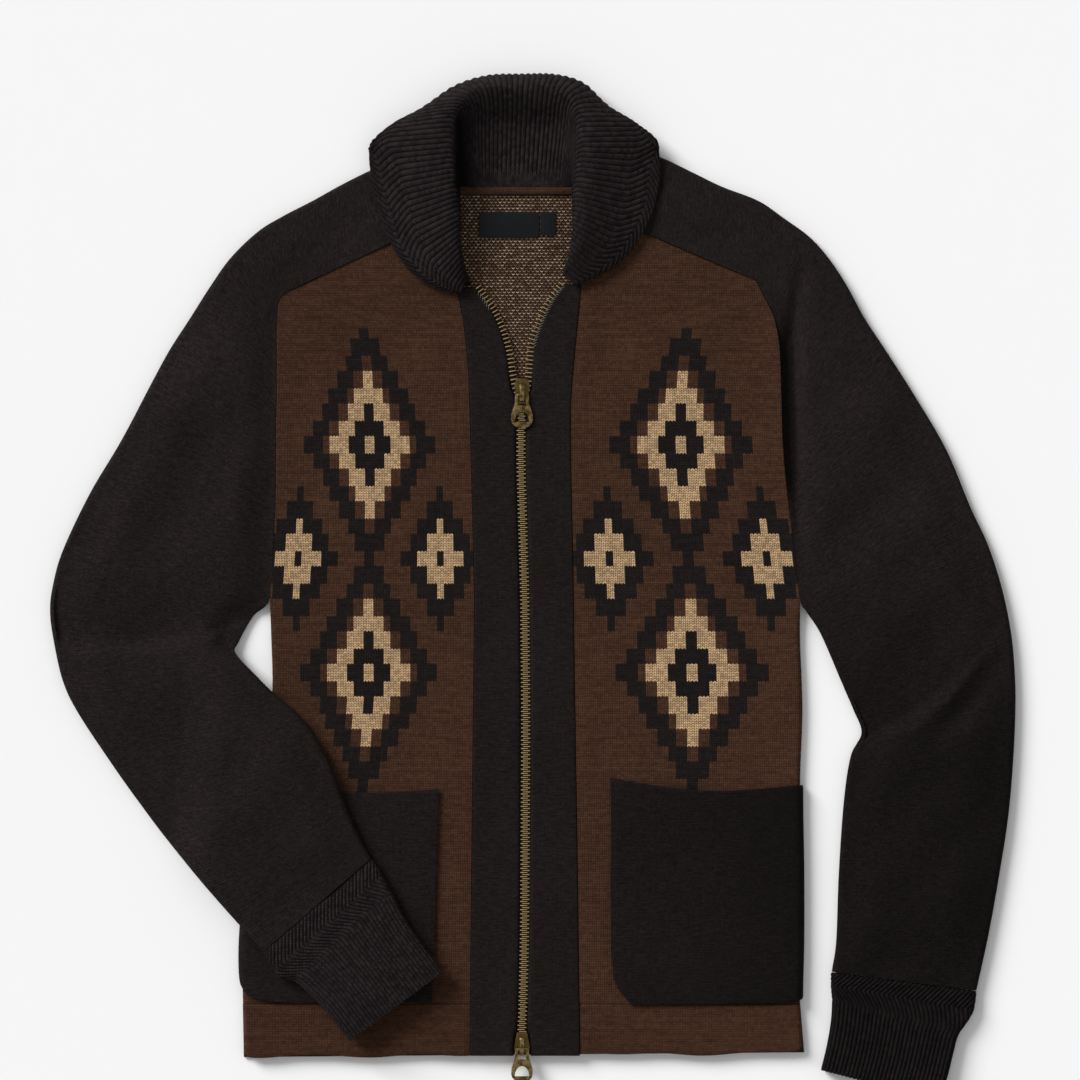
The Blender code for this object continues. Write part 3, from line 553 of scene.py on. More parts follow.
class Looks:
    """A material and the nodes that make its finish."""

    def __init__(self, name):
        self.material = bpy.data.materials.new(name)
        self.material.use_nodes = True
        self.tree = self.material.node_tree
        self.tree.nodes.clear()

    def add(self, kind, settings=None, sockets=None):
        """A node with its settings, then the values or links of its sockets, by name or number."""
        node = self.tree.nodes.new(kind)
        for name, value in (settings or {}).items():
            setattr(node, name, value)
        for key, value in (sockets or {}).items():
            if isinstance(value, Value):
                self.tree.links.new(value.socket, node.inputs[key])
            elif isinstance(value, tuple) and len(value) == 3 and node.inputs[key].type == "RGBA":
                node.inputs[key].default_value = (*value, 1.0)
            else:
                node.inputs[key].default_value = value
        return node

    def out(self, node, key=0):
        return Value(self, node.outputs[key])

    def maths(self, operation, *values):
        return self.out(self.add("ShaderNodeMath", {"operation": operation}, dict(enumerate(values))))

    def mix(self, factor, first, second, blend="MIX"):
        settings = {"data_type": "RGBA", "blend_type": blend}
        return self.out(self.add("ShaderNodeMix", settings, {0: factor, 6: first, 7: second}), 2)

    def tint(self, colour, factors):
        return self.mix(1.0, colour, factors, "MULTIPLY")

    def dim(self, colour, shade):
        return self.tint(colour, self.join(shade, shade, shade))

    def join(self, x, y, z=0.0):
        return self.out(self.add("ShaderNodeCombineXYZ", None, {0: x, 1: y, 2: z}))

    def split(self, vector):
        node = self.add("ShaderNodeSeparateXYZ", None, {0: vector})
        return self.out(node, 0), self.out(node, 1), self.out(node, 2)

    def cloth_uv(self):
        """The piece's own map, in metres across and along the cloth."""
        return self.split(self.out(self.add("ShaderNodeUVMap", {"uv_map": "cloth"})))[:2]

    def place(self):
        """Object coordinates."""
        return self.out(self.add("ShaderNodeTexCoord"), "Object")

    def noise(self, scale, detail=2.0, where=None, roughness=0.5):
        sockets = {"Scale": scale, "Detail": detail, "Roughness": roughness, "Vector": where or self.place()}
        return self.out(self.add("ShaderNodeTexNoise", None, sockets), "Fac")

    def speckle(self, x, y):
        """A random number for each whole x and y."""
        node = self.add("ShaderNodeTexWhiteNoise", {"noise_dimensions": "2D"}, {"Vector": self.join(x, y)})
        return self.out(node, "Value")

    def bump(self, height, distance):
        return self.out(self.add("ShaderNodeBump", None, {"Height": height, "Distance": distance}))

    def finish(self, sockets):
        shader = self.add("ShaderNodeBsdfPrincipled", None, sockets)
        self.add("ShaderNodeOutputMaterial", None, {"Surface": self.out(shader)})
        return self.material

    def cloth(self, colour, normal, rough=0.93, shine=0.06):
        sockets = {"Base Color": colour, "Roughness": rough, "Normal": normal, "Specular IOR Level": shine}
        return self.finish(sockets)


def scaled(colour, factor):
    return tuple(min(1.0, factor * channel) for channel in colour)


def wave(value):
    """A sine between 0 and 1."""
    return value.sine() * 0.5 + 0.5


def knit_stitches(u, v, width, height, slant=0.6):
    """Column and row of the stitch at u, v, and the height of its yarn from 0 to 1."""
    x = u / width
    column = x.floor()
    arm = abs((x - column) - 0.5) * 2.0
    y = v / height + arm * slant
    row = y.floor()
    run = y - row
    loop = (run * (1.0 - run) * 4.0) ** 0.6
    leg = 1.0 - abs(arm * 2.0 - 1.0) ** 3.0
    return column, row, loop * (0.25 + 0.75 * leg)


def shade_knit(looks, ground, yarn, heather, mottle, depth=0.55):
    """Ground colour with painted shade in the gaps between the yarns, a random tone for each stitch and slow
    clouds.
    """
    # Painted shade in the gaps between the yarns
    dark = looks.tint(ground, (depth, depth, depth))
    colour = looks.mix(yarn, dark, ground)
    pale = looks.tint(colour, (1.9, 1.82, 1.75))
    deep = looks.tint(colour, (0.4, 0.4, 0.42))
    return looks.mix(mottle, looks.mix(heather, deep, pale), colour)


def painted_shade_lower_right(looks):
    """Painted shade: slow darkening toward the lower right of the garment, where the light falls off."""
    x, y, _ = looks.split(looks.place())
    side = ((x + 0.02) * 4.0).share()
    low = ((0.06 - y) * 5.0).share()
    return 1.0 - side * low * 0.5


def charcoal_cloth(name, colour, width, height, fleck, relief=0.4 * MM, armhole=False):
    """Fine felted knit with a heather fleck."""
    looks = Looks(name)
    u, v = looks.cloth_uv()
    column, row, yarn = knit_stitches(u, v, width, height)
    heather = looks.speckle(column, row)
    clouds = looks.noise(9.0, 3.0)
    felt = looks.noise(480.0, 3.0, roughness=0.6)
    slub = looks.noise(1.0, 2.0, looks.join(u * 110.0, v * 800.0))
    light = clouds * 0.5 + felt * 0.6 + slub * 0.7
    tone = looks.mix(light - 0.4, scaled(colour, 0.4), scaled(colour, 1.6))
    # Painted shade toward the lower right of the garment
    tone = looks.dim(tone, painted_shade_lower_right(looks))
    # Painted shadow in the fold beside the right armhole
    if armhole:
        tone = looks.dim(tone, painted_armhole_shadow(looks))
    cloth = shade_knit(looks, tone, yarn, heather * 0.4 + slub * 0.6, 1.0 - fleck)
    normal = looks.bump(yarn * 0.7 + slub * 0.5 + felt * 1.2, relief)
    return looks.cloth(cloth, normal)


def painted_armhole_shadow(looks):
    """Painted shadow down in the fold beside the right armhole."""
    x, y, _ = looks.split(looks.place())
    near = (1.0 - (x - 0.199) * 80.0).share() * (x > 0.19)
    low = ((y - 0.05) * 25.0).share()
    high = ((0.25 - y) * 15.0).share()
    return 1.0 - near * low * high * 0.5


def painted_collar_corner_shadow(looks):
    """Painted shadow down in the collar's left corner."""
    x, y, _ = looks.split(looks.place())
    left = ((x + 0.064) * 250.0).share()
    right = ((-0.046 - x) * 90.0).share()
    low = ((y - 0.3) * 50.0).share()
    high = ((0.386 - y) * 70.0).share()
    return 1.0 - left * right * low * high * 0.75


def rib_cloth(name, colour, pitch, height, neck=False):
    """Thick rib whose stitches run along each rib."""
    looks = Looks(name)
    u, v = looks.cloth_uv()
    column, row, yarn = knit_stitches(u, v, pitch, height, 0.9)
    across = 1.0 - abs((u / pitch).fract() - 0.5) * 2.0
    heather = looks.speckle(column, row)
    felt = looks.noise(260.0, 4.0, roughness=0.65)
    light = looks.noise(14.0, 3.0) * 0.6 + felt * 0.8 - 0.2
    tone = looks.mix(light, scaled(colour, 0.5), scaled(colour, 1.5))
    # Painted shade: the collar's left corner on the collar, the lower right of the garment on the cuffs
    tone = looks.dim(tone, painted_collar_corner_shadow(looks) if neck else painted_shade_lower_right(looks))
    if neck:
        across = across + (v < COLLAR_PLAIN * MM)
    # Painted shade: the grooves between the ribs are darker, except on the collar's plain strip by the seam
    groove = looks.tint(tone, (0.5, 0.48, 0.48))
    ribs = looks.mix((across * 2.2).least(1.0), groove, tone)
    cloth = shade_knit(looks, ribs, yarn, heather, 0.45, 0.62)
    normal = looks.bump(yarn + felt, 0.45 * MM)
    return looks.cloth(cloth, normal)


def diamond_steps(x, y):
    """How many steps a stitch lies from the middle of its stepped diamond."""
    return abs((x / DESIGN_STEP[0] + 0.5).floor()) + abs((y / DESIGN_STEP[1] + 0.5).floor())


def diamond_marks(u, v):
    """Where the charcoal and the tan of the stepped diamonds lie, each 0 or 1."""
    x = u * (1.0 / MM)
    y = v * (1.0 / MM)
    row = (y - DESIGN_TOP) / DESIGN_PITCH + 0.5
    large = diamond_steps(x - DESIGN_MIDDLE, (row.fract() - 0.5) * DESIGN_PITCH)
    half_row = (row + 0.5).fract() - 0.5
    small = diamond_steps(abs(x - DESIGN_MIDDLE) - DESIGN_SIDE, half_row * DESIGN_PITCH)
    inside = (y > DESIGN_ENDS[0]) * (y < DESIGN_ENDS[1])
    low = (y < DESIGN_TOP) * (y > DESIGN_TOP - DESIGN_PITCH)
    dark = ((large > 5.5) * (large < 7.5)).most((large > 0.5) * (large < 2.5))
    dark = dark.most(((small > 2.5) * (small < 4.5)).most(small < 0.5) * low)
    light = ((large > 2.5) * (large < 4.5)).most(large < 0.5).most((small > 0.5) * (small < 2.5) * low)
    return dark * inside, light * inside


def body_cloth(name, yarn_set, brown, design=False):
    """Jacquard of brown, charcoal and tan. The tan stitches show dark yarn between them."""
    looks = Looks(name)
    u, v = looks.cloth_uv()
    width, height = yarn_set.stitch_width, yarn_set.stitch_height
    column, row, yarn = knit_stitches(u, v, width, height)
    heather = looks.speckle(column, row)
    fine = looks.noise(1.0, 2.0, looks.join(u * 500.0, v * 900.0))
    streak = looks.noise(1.0, 2.0, looks.join(u * 38.0, v * 330.0))
    clouds = looks.noise(7.0, 3.0)
    ground = looks.mix(clouds * 0.6 + streak * 1.2 - 0.4, scaled(brown, 0.62), scaled(brown, 1.36))
    if design:
        dark, light = diamond_marks((column + 0.5) * width, (row + 0.5) * height)
        charcoal = looks.mix(streak, scaled(yarn_set.charcoal, 0.45), scaled(yarn_set.charcoal, 1.1))
        ground = looks.mix(dark, ground, charcoal)
        tan = looks.mix(heather * 0.5 + fine * 0.5, scaled(yarn_set.tan, 0.72), tuple(yarn_set.tan))
        tan = looks.mix((yarn * 1.25).least(1.0) ** 0.9, scaled(yarn_set.tan, 0.12), tan)
        ground = looks.mix(light, ground, tan)
    cloth = shade_knit(looks, ground, yarn, heather * 0.5 + fine * 0.5, 0.4, 0.55)
    normal = looks.bump(yarn + fine * 0.5, 0.5 * MM)
    return looks.cloth(cloth, normal, 0.92)


def birdseye_cloth(name, yarn_set):
    """Inside of the jacquard: pale loops in brick order on brown."""
    looks = Looks(name)
    u, v = looks.cloth_uv()
    wide, tall = 3.5 * MM, 2.4 * MM
    y = v / tall
    line = y.floor()
    x = u / wide + (line * 0.5).fract()
    cell = x.floor()
    arm = abs((x - cell) - 0.5) * 2.0
    rise = abs((y - line) - 0.3 - arm * 0.5)
    loop = (1.0 - rise * 4.6).most(0.0) * (1.1 - arm * 1.25).most(0.0)
    heather = looks.speckle(cell, line)
    column, row, yarn = knit_stitches(u, v, wide / 2, tall)
    brown = yarn_set.brown
    ground = looks.mix(looks.speckle(column, row), scaled(brown, 0.4), scaled(brown, 1.15))
    # Painted shade in the gaps between the brown stitches
    ground = looks.mix(yarn, scaled(brown, 0.15), ground)
    pale = looks.mix(heather, ink(116, 92, 72), ink(222, 198, 168))
    cloth = looks.mix((loop * 1.7).least(1.0), ground, pale)
    normal = looks.bump(yarn * 0.5 + loop, 0.6 * MM)
    return looks.cloth(cloth, normal, 0.92)


def satin_cloth(name, colour):
    """Bare woven label satin, with fine floats across."""
    looks = Looks(name)
    u, v = looks.cloth_uv()
    floats = wave(u * 2400.0) * 0.4 + wave(v * 5200.0 + u * 1500.0) * 0.6
    clouds = looks.noise(60.0, 3.0)
    base = looks.mix(clouds, scaled(colour, 0.8), scaled(colour, 1.25))
    cloth = looks.mix(floats, scaled(colour, 0.6), base)
    return looks.cloth(cloth, looks.bump(floats, 0.08 * MM), 0.48 + floats * 0.12, 0.15)


def tape_cloth(name, colour):
    """Twill tape of the zip."""
    looks = Looks(name)
    u, v = looks.cloth_uv()
    twill = wave(u * 5000.0 + v * 5000.0) * 0.6 + wave(u * 9000.0 - v * 1500.0) * 0.4
    cloth = looks.mix(twill, scaled(colour, 0.45), scaled(colour, 1.3))
    return looks.cloth(cloth, looks.bump(twill, 0.15 * MM), 0.85, 0.15)


def thread_looks(name, colour):
    """Twisted sewing thread."""
    looks = Looks(name)
    x, y, z = looks.split(looks.place())
    twist = wave((x + y + z) * 7000.0)
    cloth = looks.mix(twist, scaled(colour, 0.55), colour)
    return looks.finish({"Base Color": cloth, "Roughness": 0.8, "Normal": looks.bump(twist, 0.08 * MM)})


def brass_looks(name, colour, dark=0.3, rough=0.2):
    """Antique brass: brown low down and in patches, worn bright on top, with fine scratches."""
    looks = Looks(name)
    wear_marks = looks.noise(520.0, 3.0, roughness=0.6)
    tarnish = looks.noise(260.0, 2.0)
    grain = {"Vector": looks.place(), "Scale": (3000.0, 300.0, 900.0)}
    stretched = looks.add("ShaderNodeMapping", None, grain)
    scratch = looks.noise(1.0, 2.0, looks.out(stretched))
    _, _, z = looks.split(looks.place())
    raised = ((z - BRASS_DARK_BELOW * MM) * 2000.0).share()
    old = tuple(c * f for c, f in zip(colour, (dark, dark * 0.9, dark * 0.75)))
    worn = tuple(min(1.0, c * f) for c, f in zip(colour, (1.5, 1.5, 1.6)))
    clean = ((tarnish - 0.36) * 4.0).share()
    metal = looks.mix(clean * (0.25 + raised * 0.75), old, colour)
    metal = looks.mix(((wear_marks - 0.58) * 5.0).share() * raised, metal, worn)
    rough = rough + tarnish * 0.2 + scratch * 0.1
    normal = looks.bump(scratch * 0.5 + wear_marks * 0.5, 0.15 * MM)
    return looks.finish({"Base Color": metal, "Roughness": rough, "Metallic": 1.0, "Normal": normal})


def tooth_looks(name, colour):
    """Small brass teeth, rubbed pale."""
    looks = Looks(name)
    wear_marks = looks.noise(600.0, 3.0, roughness=0.6)
    metal = looks.mix(wear_marks, scaled(colour, 0.6), scaled(colour, 1.4))
    normal = looks.bump(wear_marks, 0.1 * MM)
    return looks.finish({"Base Color": metal, "Roughness": 0.36, "Metallic": 1.0, "Normal": normal})


def floor_looks(name, colour):
    """Plain matt paper."""
    looks = Looks(name)
    grain = looks.noise(40.0, 2.0)
    paper = looks.mix(grain, scaled(colour, 0.992), tuple(colour))
    return looks.finish({"Base Color": paper, "Roughness": 0.9, "Specular IOR Level": 0.1})


def cloth_looks(kind):
    """The material of a kind of cloth, made once."""
    label = "finish_" + kind
    made = bpy.data.materials.get(label)
    if made:
        return made
    yarn = bpy.context.scene.sweater_yarn
    zipper = bpy.context.scene.sweater_zip
    sleeve, band, pocket = (scaled(yarn.charcoal, factor) for factor in (0.9, 0.76, 0.78))
    fine = yarn.fine_stitch
    rib_pitch, fine_row = 1.0 * MM, 1.7 * MM
    makers = {
        "body_jacquard": lambda: body_cloth(label, yarn, tuple(yarn.brown), design=True),
        "body_back": lambda: body_cloth(label, yarn, tuple(yarn.brown)),
        "body_inside": lambda: birdseye_cloth(label, yarn),
        "hem_knit": lambda: body_cloth(label, yarn, tuple(yarn.hem_brown)),
        # The sleeves take the painted shadow beside the right armhole
        "sleeve_knit": lambda: charcoal_cloth(label, sleeve, fine, fine_row, 0.9, armhole=True),
        "band_knit": lambda: charcoal_cloth(label, band, 2.1 * MM, 1.6 * MM, 0.8, 0.25 * MM),
        "pocket_knit": lambda: charcoal_cloth(label, pocket, fine, fine_row, 0.85),
        "collar_rib": lambda: rib_cloth(label, tuple(yarn.rib_charcoal), rib_pitch, fine_row, neck=True),
        "cuff_rib": lambda: rib_cloth(label, scaled(yarn.rib_charcoal, 1.04), rib_pitch, fine_row),
        "label_satin": lambda: satin_cloth(label, ink(16, 18, 20)),
        "zip_tape": lambda: tape_cloth(label, ink(30, 27, 26)),
        "dark_thread": lambda: thread_looks(label, ink(34, 30, 29)),
        "frayed_thread": lambda: thread_looks(label, ink(120, 112, 98)),
        "antique_brass": lambda: brass_looks(label, tuple(zipper.brass)),
        "tooth_brass": lambda: tooth_looks(label, tuple(zipper.tooth_brass)),
    }
    return makers[kind]()


# Shapes


def ease(t):
    t = np.clip(t, 0.0, 1.0)
    return t * t * (3.0 - 2.0 * t)


def window(value, low, rise, high, fall):
    """1 between low and high, eased over the two lengths."""
    return ease((value - low) / rise) * ease((high - value) / fall)


def unit(vector):
    length = np.linalg.norm(vector, axis=-1, keepdims=True)
    return vector / np.maximum(length, 1e-9)


def side_sign(side):
    return -1 if side == "left" else 1


def path_length(points):
    """The length of a path up to each of its points."""
    return np.concatenate([[0.0], np.cumsum(np.linalg.norm(np.diff(points, axis=0), axis=1))])


def curve_through(four, t):
    """The smooth curve between the middle two of four points."""
    a, b, c, d = four
    return 0.5 * (2 * b + (c - a) * t + (2 * a - 5 * b + 4 * c - d) * t**2 + (3 * b - a - 3 * c + d) * t**3)


def with_ends(points):
    return np.concatenate([2 * points[:1] - points[1:2], points, 2 * points[-1:] - points[-2:-1]])


def smooth(points, steps):
    """A smooth curve through the points on the first axis, with `steps` pieces between each two."""
    points = np.asarray(points, float)
    lined = with_ends(points)
    t = np.linspace(0.0, 1.0, steps, endpoint=False).reshape(1, -1, *([1] * (points.ndim - 1)))
    run = curve_through((lined[k : len(lined) - 3 + k][:, None] for k in range(4)), t)
    return np.concatenate([run.reshape(-1, *points.shape[1:]), points[-1:]])


def along(rows, at):
    """The smooth curve through the rows of a table, read at row numbers `at`."""
    rows = np.asarray(rows, float)
    at = np.clip(np.asarray(at, float), 0.0, len(rows) - 1.0)
    i = np.minimum(at.astype(int), len(rows) - 2)
    t = (at - i).reshape(*at.shape, *([1] * (rows.ndim - 1)))
    lined = with_ends(rows)
    return curve_through((lined[i + k] for k in range(4)), t)


def ripples(x, y, seed, shortest, longest):
    """Slow waves from 0 to 1, the same for the same seed."""
    chance = np.random.default_rng(seed)
    total = np.zeros_like(x)
    for _ in range(9):
        turn = chance.uniform(0, math.pi)
        length = chance.uniform(shortest, longest)
        distance = x * math.cos(turn) + y * math.sin(turn)
        total = total + np.sin(distance * 2 * math.pi / length + chance.uniform(0, 2 * math.pi))
    return np.clip(0.5 + total / 8.0, 0.0, 1.0)


def way_out(face):
    """Unit normals of a grid of points."""
    down = np.gradient(face, axis=0)
    across = np.gradient(face, axis=1)
    return unit(np.cross(across, down))


def soften(face, back, drop, ends=("first_row", "last_row", "first_column", "last_column")):
    """Draws the two faces together at the named edges, so the cloth ends in a round edge."""
    middle = (face + back) / 2
    picks = {
        "first_row": (slice(0, 1), slice(None)),
        "last_row": (slice(-1, None), slice(None)),
        "first_column": (slice(None), slice(0, 1)),
        "last_column": (slice(None), slice(-1, None)),
    }
    for end in ends:
        pick = picks[end]
        face[pick] += (middle[pick] - face[pick]) * drop
        back[pick] += (middle[pick] - back[pick]) * drop


def round_corner(grids, last_row, last_column, rows, columns):
    """Rounds one corner of the grids over a number of their rows and columns."""
    for grid in grids:
        count, wide = grid.shape[:2]
        i, j = np.meshgrid(np.arange(count, dtype=float), np.arange(wide, dtype=float), indexing="ij")
        di = count - 1 - i if last_row else i
        dj = wide - 1 - j if last_column else j
        a, b = np.clip(1 - di / rows, 0, 1), np.clip(1 - dj / columns, 0, 1)
        corner = (a > 0) & (b > 0)
        di = np.where(corner, (1 - a * np.sqrt(1 - b * b / 2)) * rows, di)
        dj = np.where(corner, (1 - b * np.sqrt(1 - a * a / 2)) * columns, dj)
        i = count - 1 - di if last_row else di
        j = wide - 1 - dj if last_column else dj
        i0 = np.clip(i.astype(int), 0, count - 2)
        j0 = np.clip(j.astype(int), 0, wide - 2)
        s, t = (i - i0)[..., None], (j - j0)[..., None]
        near = grid[i0, j0] * (1 - t) + grid[i0, j0 + 1] * t
        far = grid[i0 + 1, j0] * (1 - t) + grid[i0 + 1, j0 + 1] * t
        grid[:] = near * (1 - s) + far * s


def put_in_scene(name, data):
    made = bpy.data.objects.new(name, data)
    bpy.context.scene.collection.objects.link(made)
    return made


def cloth_shell(name, face, back, chart, outside, inside=None, ring=False, extra=None, rim_side=0):
    """A closed piece of cloth between two grids of points. `chart` is its map. All in millimetres."""
    rows, columns = face.shape[:2]
    around = columns if ring else columns - 1
    wide = around + 1
    base = rows * columns
    i, j = np.meshgrid(np.arange(rows - 1), np.arange(around), indexing="ij")
    corners = ((i, j), (i, j + 1), (i + 1, j + 1), (i + 1, j))
    front = np.stack([r * columns + c % columns for r, c in corners], -1).reshape(-1, 4)
    front_chart = np.stack([r * wide + c for r, c in corners], -1).reshape(-1, 4)
    quads = [front, front[:, ::-1] + base]
    charts = [front_chart, front_chart[:, ::-1]]
    marks = [np.zeros(len(front), int), np.ones(len(front), int)]
    j = np.arange(around)
    for row, turn in ((0, 1), (rows - 1, -1)):
        near, far = row * columns + j, row * columns + (j + 1) % columns
        rim = np.stack([far, near, near + base, far + base], -1)[:, ::turn]
        at, to = row * wide + j, row * wide + j + 1
        rim_chart = np.stack([to, at, at, to], -1)[:, ::turn]
        quads.append(rim)
        charts.append(rim_chart)
        marks.append(np.full(len(rim), rim_side))
    if not ring:
        i = np.arange(rows - 1)
        for column, turn in ((0, 1), (columns - 1, -1)):
            near, far = i * columns + column, (i + 1) * columns + column
            rim = np.stack([near, far, far + base, near + base], -1)[:, ::turn]
            at, to = i * wide + column, (i + 1) * wide + column
            quads.append(rim)
            charts.append(np.stack([at, to, to, at], -1)[:, ::turn])
            marks.append(np.full(len(rim), rim_side))
    quads, charts, marks = np.concatenate(quads), np.concatenate(charts), np.concatenate(marks)
    points = np.concatenate([face.reshape(-1, 3), back.reshape(-1, 3)]) * MM
    a, b, c, d = (points[quads[:, k]] for k in range(4))
    volume = np.einsum("ij,ij->i", a, np.cross(b, c)).sum() + np.einsum("ij,ij->i", a, np.cross(c, d)).sum()
    if volume < 0:
        quads, charts = quads[:, ::-1], charts[:, ::-1]
    mesh = bpy.data.meshes.new(name)
    mesh.from_pydata(points.tolist(), [], quads.tolist())
    places = (chart.reshape(-1, 2) * MM)[charts.reshape(-1)]
    mesh.uv_layers.new(name="cloth").data.foreach_set("uv", places.reshape(-1))
    mesh.materials.append(cloth_looks(outside))
    if inside:
        mesh.materials.append(cloth_looks(inside))
        mesh.polygons.foreach_set("material_index", marks)
    for attribute, values in (extra or {}).items():
        both = np.concatenate([values.reshape(-1), np.zeros(base)])
        mesh.attributes.new(attribute, "FLOAT", "POINT").data.foreach_set("value", both)
    mesh.shade_smooth()
    mesh.set_sharp_from_angle(angle=math.radians(60))
    return put_in_scene(name, mesh)


def settle(piece):
    """Turns the piece's evaluated shape into a plain mesh and drops its modifiers."""
    bpy.context.view_layer.update()
    graph = bpy.context.evaluated_depsgraph_get()
    final = piece.evaluated_get(graph)
    mesh = bpy.data.meshes.new_from_object(final, preserve_all_data_layers=True, depsgraph=graph)
    old = piece.data
    piece.modifiers.clear()
    piece.data = mesh
    mesh.name = piece.name
    if old.users == 0 and isinstance(old, bpy.types.Mesh):
        bpy.data.meshes.remove(old)
    return piece


def wear(piece, slot, *nodes, body=GARMENT):
    """The piece rides on its body and stands for the nodes, which are hidden. The slot argument is not used.
    """
    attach(piece, body)
    if nodes:
        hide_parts(*nodes)


# Geometry Nodes


class Weave:
    """A Geometry Nodes tree with named inputs."""

    def __init__(self, name, inputs):
        self.tree = bpy.data.node_groups.new(name, "GeometryNodeTree")
        self.tree.interface.new_socket("Geometry", in_out="INPUT", socket_type="NodeSocketGeometry")
        self.tree.interface.new_socket("Geometry", in_out="OUTPUT", socket_type="NodeSocketGeometry")
        self.sockets = {}
        for label, kind in inputs:
            made = self.tree.interface.new_socket(label, in_out="INPUT", socket_type=kind)
            self.sockets[label] = made.identifier
        self.start = self.tree.nodes.new("NodeGroupInput")
        self.end = self.tree.nodes.new("NodeGroupOutput")

    def add(self, kind, settings=None, sockets=None):
        node = self.tree.nodes.new(kind)
        for name, value in (settings or {}).items():
            setattr(node, name, value)
        for key, value in (sockets or {}).items():
            if isinstance(value, bpy.types.NodeSocket):
                self.tree.links.new(value, node.inputs[key])
            else:
                node.inputs[key].default_value = value
        return node

    def given(self, label):
        return self.start.outputs[label]

    def maths(self, operation, *values):
        return self.add("ShaderNodeMath", {"operation": operation}, dict(enumerate(values))).outputs[0]

    def dress(self, geometry):
        """Makes the geometry real, gives it its finish and ends the tree."""
        realised = self.add("GeometryNodeRealizeInstances", None, {0: geometry})
        sockets = {"Geometry": realised.outputs[0], "Material": self.given("Finish")}
        finish = self.add("GeometryNodeSetMaterial", None, sockets)
        self.tree.links.new(finish.outputs[0], self.end.inputs[0])

    def apply(self, piece, values):
        change = piece.modifiers.new(self.tree.name, "NODES")
        change.node_group = self.tree
        for label, value in values.items():
            change[self.sockets[label]] = value
        return settle(piece)


def rib_tree():
    """Raises the cloth along its normals where the piece's rib phase says that a rib runs."""
    made = bpy.data.node_groups.get("Rib Relief")
    if made:
        bpy.data.node_groups.remove(made)
    weave = Weave("Rib Relief", (("Rib height", "NodeSocketFloat"), ("Finish", "NodeSocketMaterial")))
    phase = weave.add("GeometryNodeInputNamedAttribute", {"data_type": "FLOAT"}, {"Name": "rib_phase"})
    loft = weave.add("GeometryNodeInputNamedAttribute", {"data_type": "FLOAT"}, {"Name": "rib_loft"})
    turn = weave.maths("MULTIPLY", phase.outputs["Attribute"], 2 * math.pi)
    round_top = weave.maths("MULTIPLY_ADD", weave.maths("COSINE", turn), -0.5, 0.5)
    centred = weave.maths("SUBTRACT", weave.maths("POWER", round_top, 0.7), 0.55)
    tall = weave.maths("MULTIPLY", centred, weave.given("Rib height"))
    masked = weave.maths("MULTIPLY", tall, loft.outputs["Attribute"])
    normal = weave.add("GeometryNodeInputNormal").outputs[0]
    offset = weave.add("ShaderNodeVectorMath", {"operation": "SCALE"}, {0: normal, "Scale": masked})
    sockets = {"Geometry": weave.given("Geometry"), "Offset": offset.outputs[0]}
    weave.dress(weave.add("GeometryNodeSetPosition", None, sockets).outputs[0])
    return weave


def row_tree():
    """Sets copies of one small piece along the path, one pitch apart and turned with it."""
    inputs = (("Unit", "NodeSocketObject"), ("Pitch", "NodeSocketFloat"), ("Finish", "NodeSocketMaterial"))
    weave = Weave("Row Along Path", inputs)
    curve = weave.add("GeometryNodeMeshToCurve", None, {0: weave.given("Geometry")}).outputs[0]
    sockets = {"Curve": curve, "Length": weave.given("Pitch")}
    points = weave.add("GeometryNodeResampleCurve", {"mode": "LENGTH"}, sockets)
    tangent = weave.add("GeometryNodeInputTangent").outputs[0]
    axes = {"axis": "Y", "pivot_axis": "Z"}
    aligned = weave.add("FunctionNodeAlignRotationToVector", axes, {"Vector": tangent})
    unit_piece = weave.add("GeometryNodeObjectInfo", None, {"Object": weave.given("Unit")})
    sockets = {
        "Points": points.outputs[0],
        "Instance": unit_piece.outputs["Geometry"],
        "Rotation": aligned.outputs[0],
    }
    weave.dress(weave.add("GeometryNodeInstanceOnPoints", None, sockets).outputs[0])
    return weave


def row_along(name, path, unit_piece, pitch, looks):
    """One plain mesh of copies of `unit_piece` along a path in millimetres."""
    mesh = bpy.data.meshes.new(name)
    points = [tuple(point * MM) for point in np.asarray(path, float)]
    mesh.from_pydata(points, [(i, i + 1) for i in range(len(points) - 1)], [])
    piece = put_in_scene(name, mesh)
    row_tree().apply(piece, {"Unit": unit_piece, "Pitch": pitch, "Finish": cloth_looks(looks)})
    if not piece.data.polygons:
        raise RuntimeError(f"{name} came out empty")
    return piece


def small_unit(name, points, sides):
    """A closed rod of rings of points, one piece of a row. It isn't shown by itself."""
    rings = len(points) // sides
    faces = [tuple(range(sides - 1, -1, -1)), tuple(range(len(points) - sides, len(points)))]
    for k in range(rings - 1):
        for m in range(sides):
            at, to = sides * k + m, sides * k + (m + 1) % sides
            faces.append((at, to, to + sides, at + sides))
    mesh = bpy.data.meshes.new(name)
    mesh.from_pydata([tuple(np.asarray(p, float) * MM) for p in points], [], faces)
    shape = bmesh.new()
    shape.from_mesh(mesh)
    bmesh.ops.recalc_face_normals(shape, faces=shape.faces)
    shape.to_mesh(mesh)
    shape.free()
    mesh.shade_smooth()
    mesh.set_sharp_from_angle(angle=math.radians(40))
    return put_in_scene(name, mesh)


def drop_helper(helper):
    mesh = helper.data
    bpy.data.objects.remove(helper, do_unlink=True)
    bpy.data.meshes.remove(mesh)


# The body


def body_rows(side):
    return np.array(BODY_ROWS[side])


